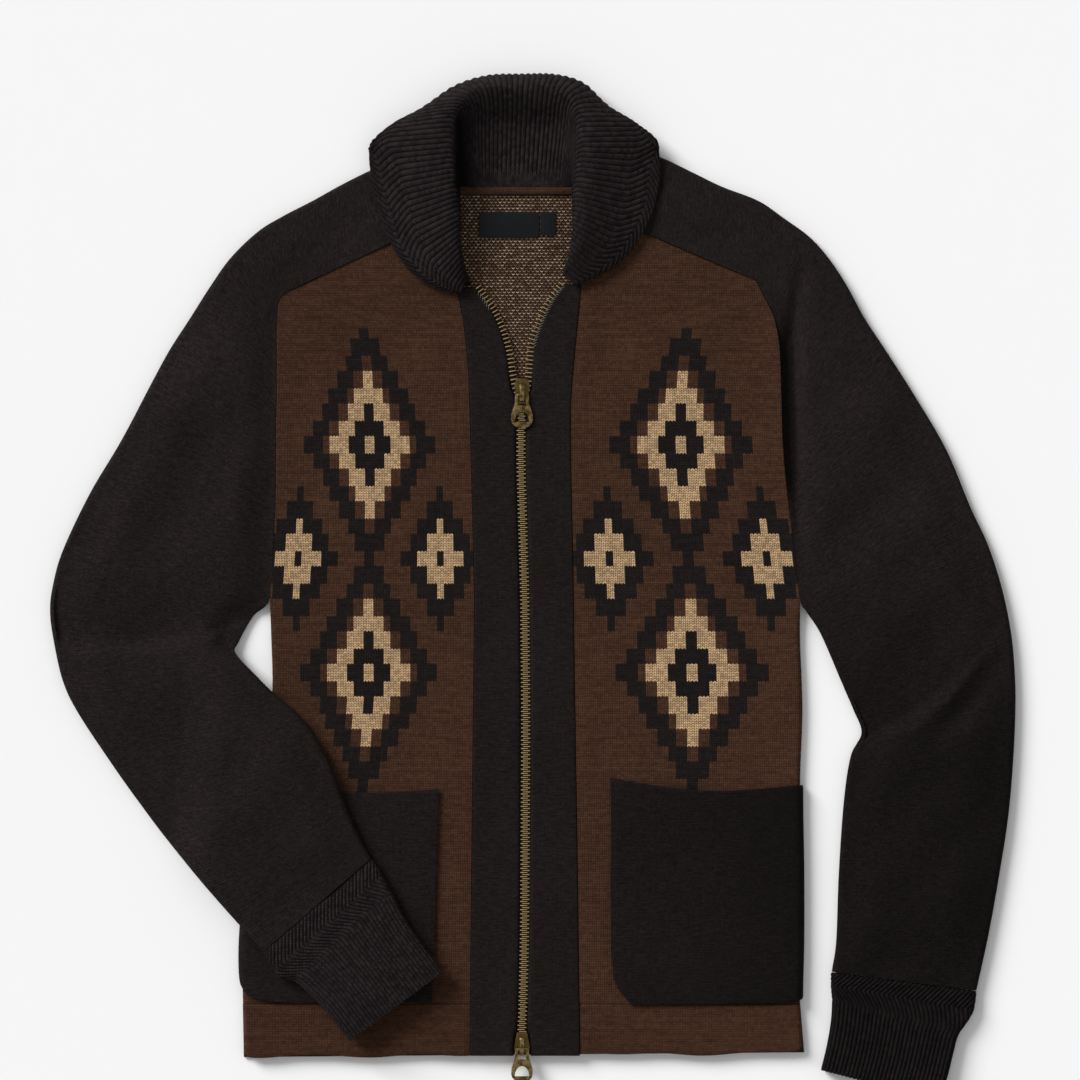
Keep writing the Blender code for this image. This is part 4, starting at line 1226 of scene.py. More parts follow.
def side_section(offset, curl):
    """How the cloth turns down at the side seam: share of the reach, distance in from the side and height."""
    radius = SIDE_RADIUS + offset
    centre = FRONT_TOP - SIDE_RADIUS
    section = [(share, SIDE_RADIUS, FRONT_TOP + offset) for share in np.linspace(1.0, 0.0, 46)]
    for turn in np.linspace(0, math.pi / 2, 8)[1:]:
        laid = SIDE_RADIUS * (1 - turn / (math.pi / 2))
        inset = (1 - curl) * laid + curl * (SIDE_RADIUS - radius * math.sin(turn))
        height = (1 - curl) * (FRONT_TOP + offset) + curl * (centre + radius * math.cos(turn))
        section.append((0.0, inset, height))
    return np.array(section)


def front_surface(side, first, last, offset):
    """A grid over a front, `offset` above its outer face, from the band seam to the armhole or side."""
    rows = smooth(body_rows(side)[first : last + 1], BODY_STEPS)
    numbers = first + np.arange(len(rows)) / BODY_STEPS
    curls = np.clip(numbers - (ARMHOLE_ROWS - 1), 0.0, 1.0)
    outer, inner = rows[:, :2], rows[:, 2:]
    inward = unit(inner - outer)
    reach = np.linalg.norm(inner - outer, axis=1) - SEAM_GAP / 2
    grid = []
    for k, curl in enumerate(curls):
        share, inset, height = side_section(offset, curl).T
        gap = SEAM_GAP / 2
        distance = np.where(share > 0, gap + inset + share * (reach[k] - gap - inset), gap + inset)
        flat = outer[k] + inward[k] * distance[:, None]
        grid.append(np.column_stack([flat, height]))
    return np.array(grid)


def front_chart(side, face):
    """Map of a front: distance from the band seam, kept to the same wales down the body, and Y."""
    rows = body_rows(side)
    order = np.argsort(rows[:, 3])
    seam = np.interp(face[..., 1], rows[order, 3], rows[order, 2])
    order = np.argsort(rows[:, 1])
    level = np.minimum(face[..., 1], STEADY_FROM)
    edge = np.interp(level, rows[order, 1], rows[order, 0])
    low_seam = np.interp(level, rows[::-1, 3], rows[::-1, 2])
    u = np.abs(face[..., 0] - seam) / np.abs(edge - low_seam) * DESIGN_SPREAD
    return np.stack([u, face[..., 1]], -1)


class SWEATER_OT_fronts(bpy.types.Operator):
    """Knit the two fronts with their diamond design and the hem bands"""

    bl_idname = "sweater.fronts"
    bl_label = "Fronts"

    def execute(self, context):
        for side in ("left", "right"):
            face = front_surface(side, 0, HEM_FIRST_ROW, 0.0)
            back = front_surface(side, 0, HEM_FIRST_ROW, -BODY_WALL)
            chart = front_chart(side, face)
            sway = ripples(face[..., 0], face[..., 1], SEEDS["front_" + side], 45.0, 150.0) * 1.5
            edge = np.ones_like(sway)
            edge[:, -14:] *= np.linspace(1.0, 0.0, 14)
            edge[:, :6] *= np.linspace(0.0, 1.0, 6)
            low, high = SWELL_ENDS
            near = np.exp(-(((face[..., 0] - face[:, -1:, 0]) / SWELL_WIDTH) ** 2))
            swell = window(face[..., 1], low, 40.0, high, 30.0) * near * ARMHOLE_SWELL[side]
            face[..., 2] += swell - sway * edge
            back[..., 2] += swell - sway * edge
            soften(face, back, 0.25)
            piece = cloth_shell("knit_front_" + side, face, back, chart, "body_jacquard", "body_inside")
            wear(piece, "brown_knit", "front_" + side)
            self.hem(side)
        return {"FINISHED"}

    def hem(self, side):
        face = front_surface(side, HEM_FIRST_ROW, HEM_FIRST_ROW + 1, 0.0)
        back = front_surface(side, HEM_FIRST_ROW, HEM_FIRST_ROW + 1, -BODY_WALL)
        face[0, :, 1] -= SEAM_GAP
        back[0, :, 1] -= SEAM_GAP
        face, back = smooth(face[::4], 12), smooth(back[::4], 12)
        sway = ripples(face[-1:, :, 0], 0.0, SEEDS["hem"], 45.0, 120.0) - 0.5
        hang = ease(np.linspace(0.0, 1.0, len(face)))[:, None] * sway * HEM_HANG
        face[..., 1] -= hang
        back[..., 1] -= hang
        round_corner((face, back), True, True, 7, 12)
        soften(face, back, 0.45)
        chart = np.stack([face[..., 0], face[..., 1]], -1)
        piece = cloth_shell("knit_hem_" + side, face, back, chart, "hem_knit")
        wear(piece, "hem_knit", "hem_band_" + side)


class SWEATER_OT_back(bpy.types.Operator):
    """Knit the back, whose inside shows in the neck, and the back hem band"""

    bl_idname = "sweater.back"
    bl_label = "Back"

    def execute(self, context):
        left, right = body_rows("left"), body_rows("right")
        left_edge = smooth(left[HEM_FIRST_ROW::-1, :2], 4)
        right_edge = smooth(right[HEM_FIRST_ROW::-1, :2], 4)
        left_edge = np.vstack([left_edge, BACK_NECK[0]])
        right_edge = np.vstack([right_edge, BACK_NECK[1]])
        levels = np.linspace(HEM_SEAM, BACK_NECK[0][1], 120)
        grid = []
        for y in levels:
            x0 = np.interp(y, left_edge[:, 1], left_edge[:, 0]) + SEAM_GAP / 2
            x1 = np.interp(y, right_edge[:, 1], right_edge[:, 0]) - SEAM_GAP / 2
            grid.append([(x, y, BODY_WALL) for x in np.linspace(x0, x1, 60)])
        face = np.array(grid)
        back = face * (1, 1, 0)
        neck = window(face[..., 1], 140.0, 60.0, 300.0, 30.0)
        sway = ripples(face[..., 0], face[..., 1], SEEDS["back"], 30.0, 90.0) - 0.5
        face[..., 2] += neck * sway * 0.6
        chart = face[..., :2].copy()
        piece = cloth_shell("knit_back", face, back, chart, "body_inside", "body_back", rim_side=1)
        wear(piece, "brown_knit", "back_panel")
        self.hem(left, right)
        return {"FINISHED"}

    def hem(self, left, right):
        low, high = left[-1, :2], left[HEM_FIRST_ROW, :2]
        low_right, high_right = right[-1, :2], right[HEM_FIRST_ROW, :2]
        grid = []
        for t in np.linspace(0.0, 1.0, 7):
            start = high + (low - high) * t
            end = high_right + (low_right - high_right) * t
            row = [start + (end - start) * s for s in np.linspace(0.0, 1.0, 40)]
            grid.append([(x, y - SEAM_GAP * (1 - t), BODY_WALL) for x, y in row])
        face = np.array(grid)
        back = face * (1, 1, 0)
        soften(face, back, 0.2, ("last_row",))
        piece = cloth_shell("knit_hem_back", face, back, face[..., :2].copy(), "hem_knit")
        wear(piece, "hem_knit", "hem_band_back")


def zip_lines(side):
    """Rows of y, tooth line x, band edge x and band seam x."""
    rows = body_rows(side)[BAND_FIRST_ROW:][::-1]
    sign = side_sign(side)
    lines = []
    for y, left_tooth, right_tooth, clear in ZIP_ROWS:
        tooth = left_tooth if side == "left" else right_tooth
        seam = np.interp(y, rows[:, 3], rows[:, 2])
        lines.append((y, tooth, tooth + sign * clear, seam))
    return np.array(lines)


class SWEATER_OT_bands(bpy.types.Operator):
    """Knit the doubled bands beside the zip and weave its tapes"""

    bl_idname = "sweater.bands"
    bl_label = "Bands and tapes"

    def execute(self, context):
        for side in ("left", "right"):
            sign = side_sign(side)
            lines = smooth(zip_lines(side), 8)
            lines = lines[lines[:, 0] < BAND_TOPS[side]]
            y, _, edge, seam = lines.T
            seam = seam - sign * SEAM_GAP / 2
            round_edge, round_seam = BAND_EDGES
            between = np.linspace(0.13, 0.93, 10)
            shares = np.concatenate([[share for share, _ in round_edge], between, [0.96, 0.985, 1.0]])
            drops = np.interp(shares, *zip(*round_edge, *round_seam))
            x = edge[:, None] + (seam - edge)[:, None] * shares
            tall = np.broadcast_to(y[:, None], x.shape)
            sway = ripples(x, tall, SEEDS["band_" + side], 40.0, 120.0) * 0.5
            face = np.stack([x, tall, BAND_TOP - drops - sway * np.sin(math.pi * shares)], -1)
            back = np.stack([x, tall, BAND_UNDER + drops * 0.3 + 0 * x], -1)
            chart = np.stack([x, tall], -1)
            piece = cloth_shell("knit_band_" + side, face, back, chart, "band_knit")
            wear(piece, "charcoal_knit", "front_band_" + side)
            self.tape(side, sign, lines[lines[:, 0] >= TAPE_END])
        return {"FINISHED"}

    def tape(self, side, sign, lines):
        y, tooth = lines[:, 0], lines[:, 1]
        shares = np.linspace(0.0, 1.0, 6)
        x = tooth[:, None] + sign * TAPE_WIDTH * shares
        tall = np.broadcast_to(y[:, None], x.shape)
        top = TAPE_UNDER + TAPE_WALL + 0 * x
        face = np.stack([x, tall, top], -1)
        back = np.stack([x, tall, top - TAPE_WALL], -1)
        chart = np.stack([x - tooth[:, None], tall], -1)
        piece = cloth_shell("woven_tape_" + side, face, back, chart, "zip_tape")
        wear(piece, "zip_tape", "zip_tape_" + side)


# Sleeves and cuffs


def lift_under_arm(x, y):
    """Height that the left forearm gains where it crosses the body's side and its pocket."""
    rows = body_rows("left")[ARMHOLE_ROWS - 1 :][::-1]
    inside = x - np.interp(y, rows[:, 1], rows[:, 0])
    on_body = ease((inside + ARM_CLEAR + ARM_RAMP) / ARM_RAMP) * ease((ARM_RISE_FROM - y) / ARM_RISE)
    on_pocket = ease((POCKET_RISE_FROM - y) / POCKET_RISE)
    return on_body * (FRONT_TOP + SEAM_GAP + on_pocket * (POCKET_WALL + SEAM_GAP))


def crease_depth(side, x, y):
    depth = np.zeros_like(x)
    for from_x, from_y, to_x, to_y, left_width, right_width, deep_from, deep_to in SLEEVE_CREASES[side]:
        run_x, run_y = to_x - from_x, to_y - from_y
        share = np.clip(((x - from_x) * run_x + (y - from_y) * run_y) / (run_x**2 + run_y**2), 0.0, 1.0)
        off_x, off_y = x - from_x - share * run_x, y - from_y - share * run_y
        width = np.where(run_x * off_y - run_y * off_x > 0, left_width, right_width)
        deep = deep_from + (deep_to - deep_from) * share
        depth = np.maximum(depth, deep * np.exp(-(off_x**2 + off_y**2) / width**2))
    return depth


def sleeve_rows(side):
    """Fold point, both lips, height and how far the lips close, for fine rows from neck to wrist."""
    body = body_rows(side)
    corner, neck_front = body[0, :2], body[0, 2:]
    neck_back = np.array(BACK_NECK[0 if side == "left" else 1])
    saddle = np.array(SADDLE_ROWS[side])
    arm = np.array(ARM_ROWS[side])
    folds = smooth(np.concatenate([saddle[:, 1:], ARMHOLE_FOLDS[side], arm[:, :2]]), SLEEVE_STEPS)
    shares = smooth(np.append(saddle[:, 0], 0.0)[:, None], SLEEVE_STEPS)[:-1]
    lips = smooth(np.concatenate([body[:ARMHOLE_ROWS, :2], arm[:, 2:]]), SLEEVE_STEPS)
    front = np.concatenate([corner + shares * (neck_front - corner), lips])
    back = np.concatenate([corner + shares * (neck_back - corner), lips])
    number = np.arange(len(folds)) / SLEEVE_STEPS - len(saddle)
    height = SADDLE_HEIGHT + (SLEEVE_HEIGHT - SADDLE_HEIGHT) * ease(number / 3)
    closed = np.interp(number, [ARMHOLE_ROWS - 1, ARMHOLE_ROWS, ARMHOLE_ROWS + 1], [0.0, 0.6, 1.0])
    return folds, front, back, height, closed


def layer_section(width, height, closed, lower, shares):
    """One layer of the sleeve from its lip to the fold: distance from the lip and height."""
    radius = height / 2
    turn = np.linspace(0, math.pi / 2, 8)
    inset = radius * (1 - np.cos(turn))
    rise = np.maximum(radius * np.sin(turn), SEAM_GAP * 0.7)
    round_z = radius - rise if lower else radius + rise
    flat_z = 0.0 if lower else SLEEVE_LIP
    near = np.column_stack([inset, (1 - closed) * flat_z + closed * round_z])
    distance = radius + shares[1:] * (width - 2 * radius)
    open_z = 0 * distance if lower else SLEEVE_LIP + (height - SLEEVE_LIP) * ease(distance / 25)
    full_z = 0.0 if lower else height
    far = np.column_stack([distance, (1 - closed) * open_z + closed * full_z])
    return np.concatenate([near, far])


class SWEATER_OT_sleeves(bpy.types.Operator):
    """Knit the sleeves with their shoulder saddles, folds and creases"""

    bl_idname = "sweater.sleeves"
    bl_label = "Sleeves"

    def execute(self, context):
        for side in ("left", "right"):
            folds, front, back_lips, heights, closings = sleeve_rows(side)
            shares = np.linspace(0.0, 1.0, 64)
            run = path_length((folds + front) / 2)
            face, chart = [], []
            rows = zip(folds, front, back_lips, heights, closings, run)
            for fold, lip, back_lip, height, closed, length in rows:
                widths = [np.linalg.norm(fold - p) - SEAM_GAP for p in (lip, back_lip)]
                ways = [unit(p - fold) for p in (lip, back_lip)]
                radius = height / 2
                top = layer_section(widths[0], height, closed, False, shares) - (widths[0], 0)
                low = layer_section(widths[1], height, closed, True, shares[::3]) - (widths[1], 0)
                turn = np.radians(np.linspace(75, -75, 9))
                arc = np.column_stack([radius * (np.cos(turn) - 1), radius * (1 + np.sin(turn))])
                section = np.concatenate([top, arc, low[::-1]])
                way = np.where((np.arange(len(section)) < len(top) + 4)[:, None], ways[0], ways[1])
                flat = fold - way * section[:, :1]
                dent = crease_depth(side, flat[:, 0], flat[:, 1])
                upper = np.arange(len(section)) < len(top)
                waves = ripples(flat[:, 0], flat[:, 1], SEEDS["sleeve_" + side], 42.0, 130.0) - 0.55
                inner = window(section[:, 0], -widths[0], 34.0, 0.0, 40.0)
                full = window(length, 150.0, 120.0, run[-1] + 6.0, 60.0)
                puff = (waves * 3.4 + SLEEVE_PUFF * full) * inner - dent
                z = section[:, 1] + np.where(upper, puff, 0.0)
                z = np.where(upper, np.maximum(z, SLEEVE_FLOOR), z)
                if side == "left":
                    z = z + lift_under_arm(flat[:, 0], flat[:, 1])
                face.append(np.column_stack([flat, z]))
                across = path_length(section)
                across -= across[len(top) + 4]
                chart.append(np.column_stack([across, np.full(len(across), length)]))
            face, chart = np.array(face), np.array(chart)
            normal = way_out(face)
            if normal[len(face) // 2, 20, 2] < 0:
                normal = -normal
            back = face - normal * SLEEVE_WALL
            piece = cloth_shell("knit_sleeve_" + side, face, back, chart, "sleeve_knit")
            wear(piece, "charcoal_knit", "sleeve_" + side)
        return {"FINISHED"}


def stadium(share, width, height):
    """Points of a flat tube's outline, and the ways out from it."""
    radius = height / 2
    flat = width - 2 * radius
    bend = math.pi * radius
    distance = (share % 1.0) * (2 * flat + 2 * bend)
    far_bend = -math.pi / 2 - (distance - 2 * flat - bend) / radius
    turn = np.where(distance < flat + bend, math.pi / 2 - (distance - flat) / radius, far_bend)
    turn = np.where(distance < flat, math.pi / 2, turn)
    turn = np.where((distance >= flat + bend) & (distance < 2 * flat + bend), -math.pi / 2, turn)
    s = np.where(distance < flat, radius + distance, width - radius)
    s = np.where(distance >= flat + bend, width - radius - (distance - flat - bend), s)
    s = np.where(distance >= 2 * flat + bend, radius, s)
    out = np.stack([np.cos(turn), np.sin(turn)], -1)
    return np.stack([s, np.full_like(s, radius)], -1) + out * radius, out


class SWEATER_OT_cuffs(bpy.types.Operator):
    """Knit the ribbed cuffs with their racked zigzag bands"""

    bl_idname = "sweater.cuffs"
    bl_label = "Cuffs"

    def execute(self, context):
        columns = CUFF_RIBS * CUFF_RIB_COLUMNS
        for side in ("left", "right"):
            rows = np.array(CUFF_ROWS[side])
            levels = np.linspace(0.0, len(rows) - 1.0, 36)
            table = along(rows, levels)
            racks = np.interp(levels, [0.0, 0.9, 1.8, 5.0], [0.0, CUFF_RACK[side], 0.0, 0.0])
            lift = FRONT_TOP + POCKET_WALL + 2 * SEAM_GAP if side == "left" else 0.0
            run = path_length((table[:, :2] + table[:, 2:]) / 2)
            face, back, chart, phase, loft = [], [], [], [], []
            for level, (outer_x, outer_y, inner_x, inner_y), rack, length in zip(levels, table, racks, run):
                start, end = np.array((outer_x, outer_y)), np.array((inner_x, inner_y))
                way = unit(end - start)
                width = float(np.linalg.norm(end - start))
                ribs = np.arange(columns) / CUFF_RIB_COLUMNS + rack
                place, out = stadium(ribs / CUFF_RIBS, width, CUFF_HEIGHT)
                inner = place - out * RIB_WALL
                rise = CUFF_RISE * ease(level / (len(rows) - 1.0)) * (out[:, 1:] > -0.5)
                for grid, line in ((face, place), (back, inner)):
                    grid.append(np.column_stack([start + way * line[:, :1], line[:, 1:] + lift + rise]))
                seam = ease(level / 0.12) * (1 - 0.75 * np.exp(-(((level - 1.85) / 0.12) ** 2)))
                phase.append(np.arange(columns) / CUFF_RIB_COLUMNS)
                loft.append(ease((out[:, 1] + 0.75) / 0.6) * seam)
                ring = np.arange(columns + 1) / CUFF_RIB_COLUMNS
                chart.append(np.column_stack([ring, np.full(columns + 1, length)]))
            extra = {"rib_phase": np.array(phase), "rib_loft": np.array(loft)}
            grids = (np.array(grid) for grid in (face, back, chart))
            piece = cloth_shell("rib_cuff_" + side, *grids, "cuff_rib", ring=True, extra=extra)
            height = context.scene.sweater_ribs.cuff_raise
            rib_tree().apply(piece, {"Rib height": height, "Finish": cloth_looks("cuff_rib")})
            wear(piece, "charcoal_rib", "cuff_" + side)
        return {"FINISHED"}


class SWEATER_OT_pockets(bpy.types.Operator):
    """Knit the two patch pockets"""

    bl_idname = "sweater.pockets"
    bl_label = "Pockets"

    def execute(self, context):
        for side in ("left", "right"):
            body = smooth(body_rows(side)[ARMHOLE_ROWS:], BODY_STEPS)[::-1]
            sign = side_sign(side)
            rows = smooth(POCKET_ROWS[side], 8)
            shares = np.linspace(0.0, 1.0, 40)
            turns = np.linspace(0, math.pi / 2, 8)[1:]
            face, back = [], []
            for number, (inner_x, inner_y, side_y, hang) in enumerate(rows):
                gape = POCKET_GAPE[side] * (1 - ease(number / 16))
                edge_x = float(np.interp(side_y, body[:, 1], body[:, 0])) - sign * SEAM_GAP
                turn_x = edge_x - sign * SIDE_RADIUS
                sag = np.sin(math.pi * shares)
                x = inner_x + (turn_x - inner_x) * shares
                y = inner_y + (side_y - inner_y) * shares - hang * sag
                for grid, height, offset in (
                    (back, FRONT_TOP + SEAM_GAP, SEAM_GAP),
                    (face, POCKET_TOP, SEAM_GAP + POCKET_WALL),
                ):
                    flat = np.column_stack([x, y, height + gape * sag])
                    radius = SIDE_RADIUS + offset
                    bend_x = turn_x + sign * radius * np.sin(turns)
                    bend_z = FRONT_TOP - SIDE_RADIUS + radius * np.cos(turns)
                    bend = np.column_stack([bend_x, np.full(len(turns), side_y), bend_z])
                    grid.append(np.concatenate([flat, bend]))
            face, back = np.array(face), np.array(back)
            round_corner((face, back), True, True, 5, 15)
            chart = face[..., :2].copy()
            soften(face, back, 0.45, ("first_row", "last_row", "first_column"))
            face[1, :, 2] -= 0.12
            piece = cloth_shell("knit_pocket_" + side, face, back, chart, "pocket_knit")
            wear(piece, "charcoal_knit", "pocket_" + side)
        return {"FINISHED"}


# Collar


def collar_points(stations, across):
    """The collar's visible face at station numbers and at shares from the neck seam to the outer edge."""
    table = along(COLLAR_STATIONS, stations)
    seam, crest, high, edge = table[:, None, 0:2], table[:, None, 2:4], table[:, 4, None], table[:, None, 5:7]
    turned = np.clip(table[:, 7], 0.0, 1.0)[:, None, None]
    fall, tuck = (along(profile, across * (len(profile) - 1)) for profile in (FALL_PROFILE, TUCK_PROFILE))
    mixed = fall + turned * (tuck - fall)
    knots = np.array(FALL_PROFILE)[:, 1] + turned[..., 0] * (np.array(TUCK_PROFILE) - FALL_PROFILE)[:, 1]
    reach = np.clip(1.0 / knots.max(axis=1), 1.0, 1.2)[:, None]
    to_crest, to_edge, rise, low = np.moveaxis(mixed, -1, 0)
    to_edge = np.where(to_edge > 0, to_edge * reach, to_edge)
    flat = seam + to_crest[..., None] * (crest - seam) + to_edge[..., None] * (edge - crest)
    return np.concatenate([flat, (rise * high + low)[..., None]], -1)


def collar_stations(count):
    """Station numbers at even distances along the crest."""
    fine = np.linspace(0, len(COLLAR_STATIONS) - 1, 481)
    crest = collar_points(fine, np.array([0.5]))[:, 0]
    length = path_length(crest)
    return np.interp(np.linspace(0, length[-1], count), length, fine)


class SWEATER_OT_collar(bpy.types.Operator):
    """Knit the ribbed shawl collar with its racked zigzag band"""

    bl_idname = "sweater.collar"
    bl_label = "Collar"

    def execute(self, context):
        ribs = context.scene.sweater_ribs
        columns = COLLAR_RIBS * COLLAR_RIB_COLUMNS + 1
        stations = collar_stations(columns)
        shares = np.linspace(0.0, 1.0, COLLAR_ROWS)
        number = np.arange(columns)
        face = []
        for share in shares:
            band = (share - COLLAR_RACK_FROM) / (1 - COLLAR_RACK_FROM)
            rack = ribs.collar_rack * COLLAR_RIB_COLUMNS * (1 - abs(2 * band - 1)) if band > 0 else 0.0
            ends = np.minimum(1.0, 4.0 * np.sin(math.pi * number / (columns - 1)))
            shifted = np.interp(number - rack * ends, number, stations)
            face.append(collar_points(shifted, np.array([share]))[:, 0])
        face = np.array(face)
        normal = way_out(face)
        if normal[COLLAR_ROWS * 5 // 8, columns // 8, 2] < 0:
            normal = -normal
        back = face - normal * RIB_WALL
        back[..., 2] = np.maximum(back[..., 2], 0.1)
        spacing = np.linalg.norm(np.gradient(face, axis=1), axis=2) * COLLAR_RIB_COLUMNS
        room = ease((spacing - 1.4) / 2.0)
        under = ease((normal[..., 2] + 0.95) / 0.5)
        near_seam = ease((shares - 0.045) * 25.0)[:, None]
        near_edge = ease(0.3 + (1.0 - shares) * 14.0)[:, None]
        loft = room * under * near_seam * near_edge
        phase = np.broadcast_to(number / COLLAR_RIB_COLUMNS, loft.shape)
        down = np.cumsum(np.linalg.norm(np.diff(face[:, :: columns // 8], axis=0), axis=2).mean(axis=1))
        down = np.concatenate([[0.0], down])
        chart = np.stack([phase, np.broadcast_to(down[:, None], phase.shape)], -1)
        face[..., 2] = np.maximum(face[..., 2], 0.35)
        extra = {"rib_phase": np.array(phase), "rib_loft": loft}
        piece = cloth_shell("rib_collar", face, back, chart, "collar_rib", extra=extra)
        rib_tree().apply(piece, {"Rib height": ribs.collar_raise, "Finish": cloth_looks("collar_rib")})
        wear(piece, "charcoal_rib", "collar")
        under = ["sleeve_left", "sleeve_right", "floor"]
        return {"FINISHED"}


class SWEATER_OT_neck_trim(bpy.types.Operator):
    """Sew in the rolled neck binding and the bare label and size tab"""

    bl_idname = "sweater.neck_trim"
    bl_label = "Neck trim"

    def execute(self, context):
        x, y, width, length = BINDING
        bottom = BODY_WALL + SEAM_GAP
        turns = np.linspace(0.0, math.pi, 15)
        across = np.linspace(x - width / 2, x + width / 2, 90)
        rise = 1.8 + np.sin(across / 2.6)[:, None] * 0.14
        shape = (len(across), len(turns))
        face = np.stack(
            [
                np.broadcast_to(across[:, None], shape),
                np.broadcast_to(y + length / 2 * np.cos(turns), shape),
                bottom + 0.9 + rise * np.sin(turns),
            ],
            -1,
        )
        back = face.copy()
        back[..., 2] = bottom
        chart = np.stack([face[..., 0], np.broadcast_to(turns, shape) * length / math.pi * 1.4], -1)
        piece = cloth_shell("rolled_binding", face, back, chart, "body_back")
        wear(piece, "brown_knit", "neck_binding")
        for name, node, (x, y, width, length), bow in (
            ("satin_label", "neck_label", LABEL, 0.5),
            ("satin_size_tab", "size_tab", SIZE_TAB, 0.35),
        ):
            s, t = np.meshgrid(np.linspace(-0.5, 0.5, 33), np.linspace(-0.5, 0.5, 17))
            lift = bow * np.cos(math.pi * s) * (0.6 + 0.4 * np.cos(2 * math.pi * t))
            face = np.stack([x + s * width, y + t * length, bottom + LABEL_WALL + lift], -1)
            back = face - (0, 0, LABEL_WALL * 0.7)
            for last_row in (False, True):
                for last_column in (False, True):
                    round_corner((face, back), last_row, last_column, 1.4, 1.4 * 33 / 17 * length / width)
            soften(face, back, 0.5)
            piece = cloth_shell(name, face, back, face[..., :2].copy(), "label_satin")
            wear(piece, "label_satin", node)
        return {"FINISHED"}


# Zip


class SWEATER_OT_thread(bpy.types.Operator):
    """Lay the stitches of the neck binding and the frayed edges of the zip tapes"""

    bl_idname = "sweater.thread"
    bl_label = "Thread"

    def execute(self, context):
        turns = np.linspace(0.0, 2 * math.pi, 7)[:-1]
        for name, half, radius, lean in (("stitch_unit", 1.25, 0.42, 0.5), ("fray_unit", 1.6, 0.3, 0.9)):
            points = []
            for t, r in ((-1.0, 0.35), (-0.6, 1.0), (0.6, 1.0), (1.0, 0.35)):
                for a in turns:
                    px = t * half * lean + math.cos(a) * r * radius
                    points.append((px, t * half, (math.sin(a) * r - t * t) * radius))
            small_unit(name, points, len(turns))
        stitch, fray = bpy.data.objects["stitch_unit"], bpy.data.objects["fray_unit"]
        x, y, width, _ = BINDING
        for name, drop, high in (("binding_stitches_low", -1.8, 5.75), ("binding_stitches_high", 1.8, 5.75)):
            across = np.linspace(x - width / 2 + 2.0, x + width / 2 - 2.0, 12)
            self.lay(name, [(px, y + drop, high) for px in across], stitch, 3.1, "dark_thread")
        for side, low, high, pitch in FRAYS:
            lines = smooth(zip_lines(side), 8)
            lines = lines[(lines[:, 0] < high) & (lines[:, 0] > low)]
            path = [(edge + side_sign(side) * 0.2, v, BAND_TOP + 0.1) for v, _, edge, _ in lines]
            self.lay("tape_fray_" + side, path, fray, pitch, "frayed_thread")
        drop_helper(stitch)
        drop_helper(fray)
        return {"FINISHED"}

    def lay(self, name, path, unit_piece, pitch, looks):
        piece = row_along(name, path, unit_piece, pitch * MM, looks)
        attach(piece, GARMENT)


class SWEATER_OT_zip(bpy.types.Operator):
    """Set the zip teeth and finish the sliders and pulls"""

    bl_idname = "sweater.zip"
    bl_label = "Zip"

    def execute(self, context):
        zipper = context.scene.sweater_zip
        length = zipper.tooth_length / MM
        thick = 1.5
        for side in ("left", "right"):
            toward = -side_sign(side)
            tip, root = toward * length * 0.42, -toward * length * 0.58
            points = []
            stations = ((root, 0.6, 1.0), (root * 0.3, 0.52, 1.5), (tip * 0.55, 0.4, 1.45), (tip, 0.46, 1.3))
            for x, half, tall in stations:
                points += [(x, -half, -tall), (x, half, -tall), (x, half * 0.7, tall), (x, -half * 0.7, tall)]
            tooth = small_unit("tooth_unit", points, 4)
            lines = smooth(zip_lines(side), 8)[::-1]
            shift = 0.0 if side == "left" else zipper.pitch / MM / 2
            height = TAPE_UNDER + TAPE_WALL / 2 + thick * 0.15
            meet = TEETH_MEET + shift
            runs = (("closed", TEETH_FROM + shift, meet), ("open", meet + 2.0, BAND_TOPS[side]))
            for part, low, high in runs:
                levels = np.linspace(low, high, 90)
                path = [(np.interp(y, lines[:, 0], lines[:, 1]), y, height) for y in levels]
                piece = row_along(f"teeth_{part}_{side}", path, tooth, zipper.pitch, "tooth_brass")
                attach(piece, GARMENT)
            drop_helper(tooth)
        for which in ("top", "bottom"):
            self.cast("slider_" + which, GARMENT)
            self.cast("pull_" + which, "pull_" + which)
        return {"FINISHED"}

    def slim(self, point, node):
        """Opens the pull's window and hole, and thins the slider's bridge."""
        kind, end = node.split("_")
        x, y = PULL_BARS[end]
        away, down = point.x / MM - x, y - point.y / MM
        if kind == "slider" and point.z / MM > BRIDGE_FROM:
            point.x = (x + away * BRIDGE_SLIM) * MM
        if kind == "pull":
            for from_y, to_y, half, wider, longer in PULL_OPENINGS:
                if from_y < down < to_y and abs(away) < half:
                    point.x = (x + away * wider) * MM
                    point.y = (y - PULL_MIDDLE - (down - PULL_MIDDLE) * longer) * MM

    def cast(self, node, body):
        solid = bpy.data.objects[node]
        mesh = solid.data.copy()
        mesh.transform(solid.matrix_world)
        shape = bmesh.new()
        shape.from_mesh(mesh)
        bmesh.ops.remove_doubles(shape, verts=shape.verts, dist=1e-6)
        shape.to_mesh(mesh)
        shape.free()
        for vertex in mesh.vertices:
            self.slim(vertex.co, node)
        mesh.materials.clear()
        mesh.materials.append(cloth_looks("antique_brass"))
        piece = put_in_scene("cast_" + node, mesh)
        rounding = piece.modifiers.new("Rounding", "BEVEL")
        rounding.width = 0.3 * MM
        rounding.segments = 2
        rounding.limit_method = "ANGLE"
        rounding.angle_limit = math.radians(35)
        mesh.shade_smooth()
        settle(piece)
        piece.data.set_sharp_from_angle(angle=math.radians(50))
        wear(piece, "antique_brass", node, body=body)


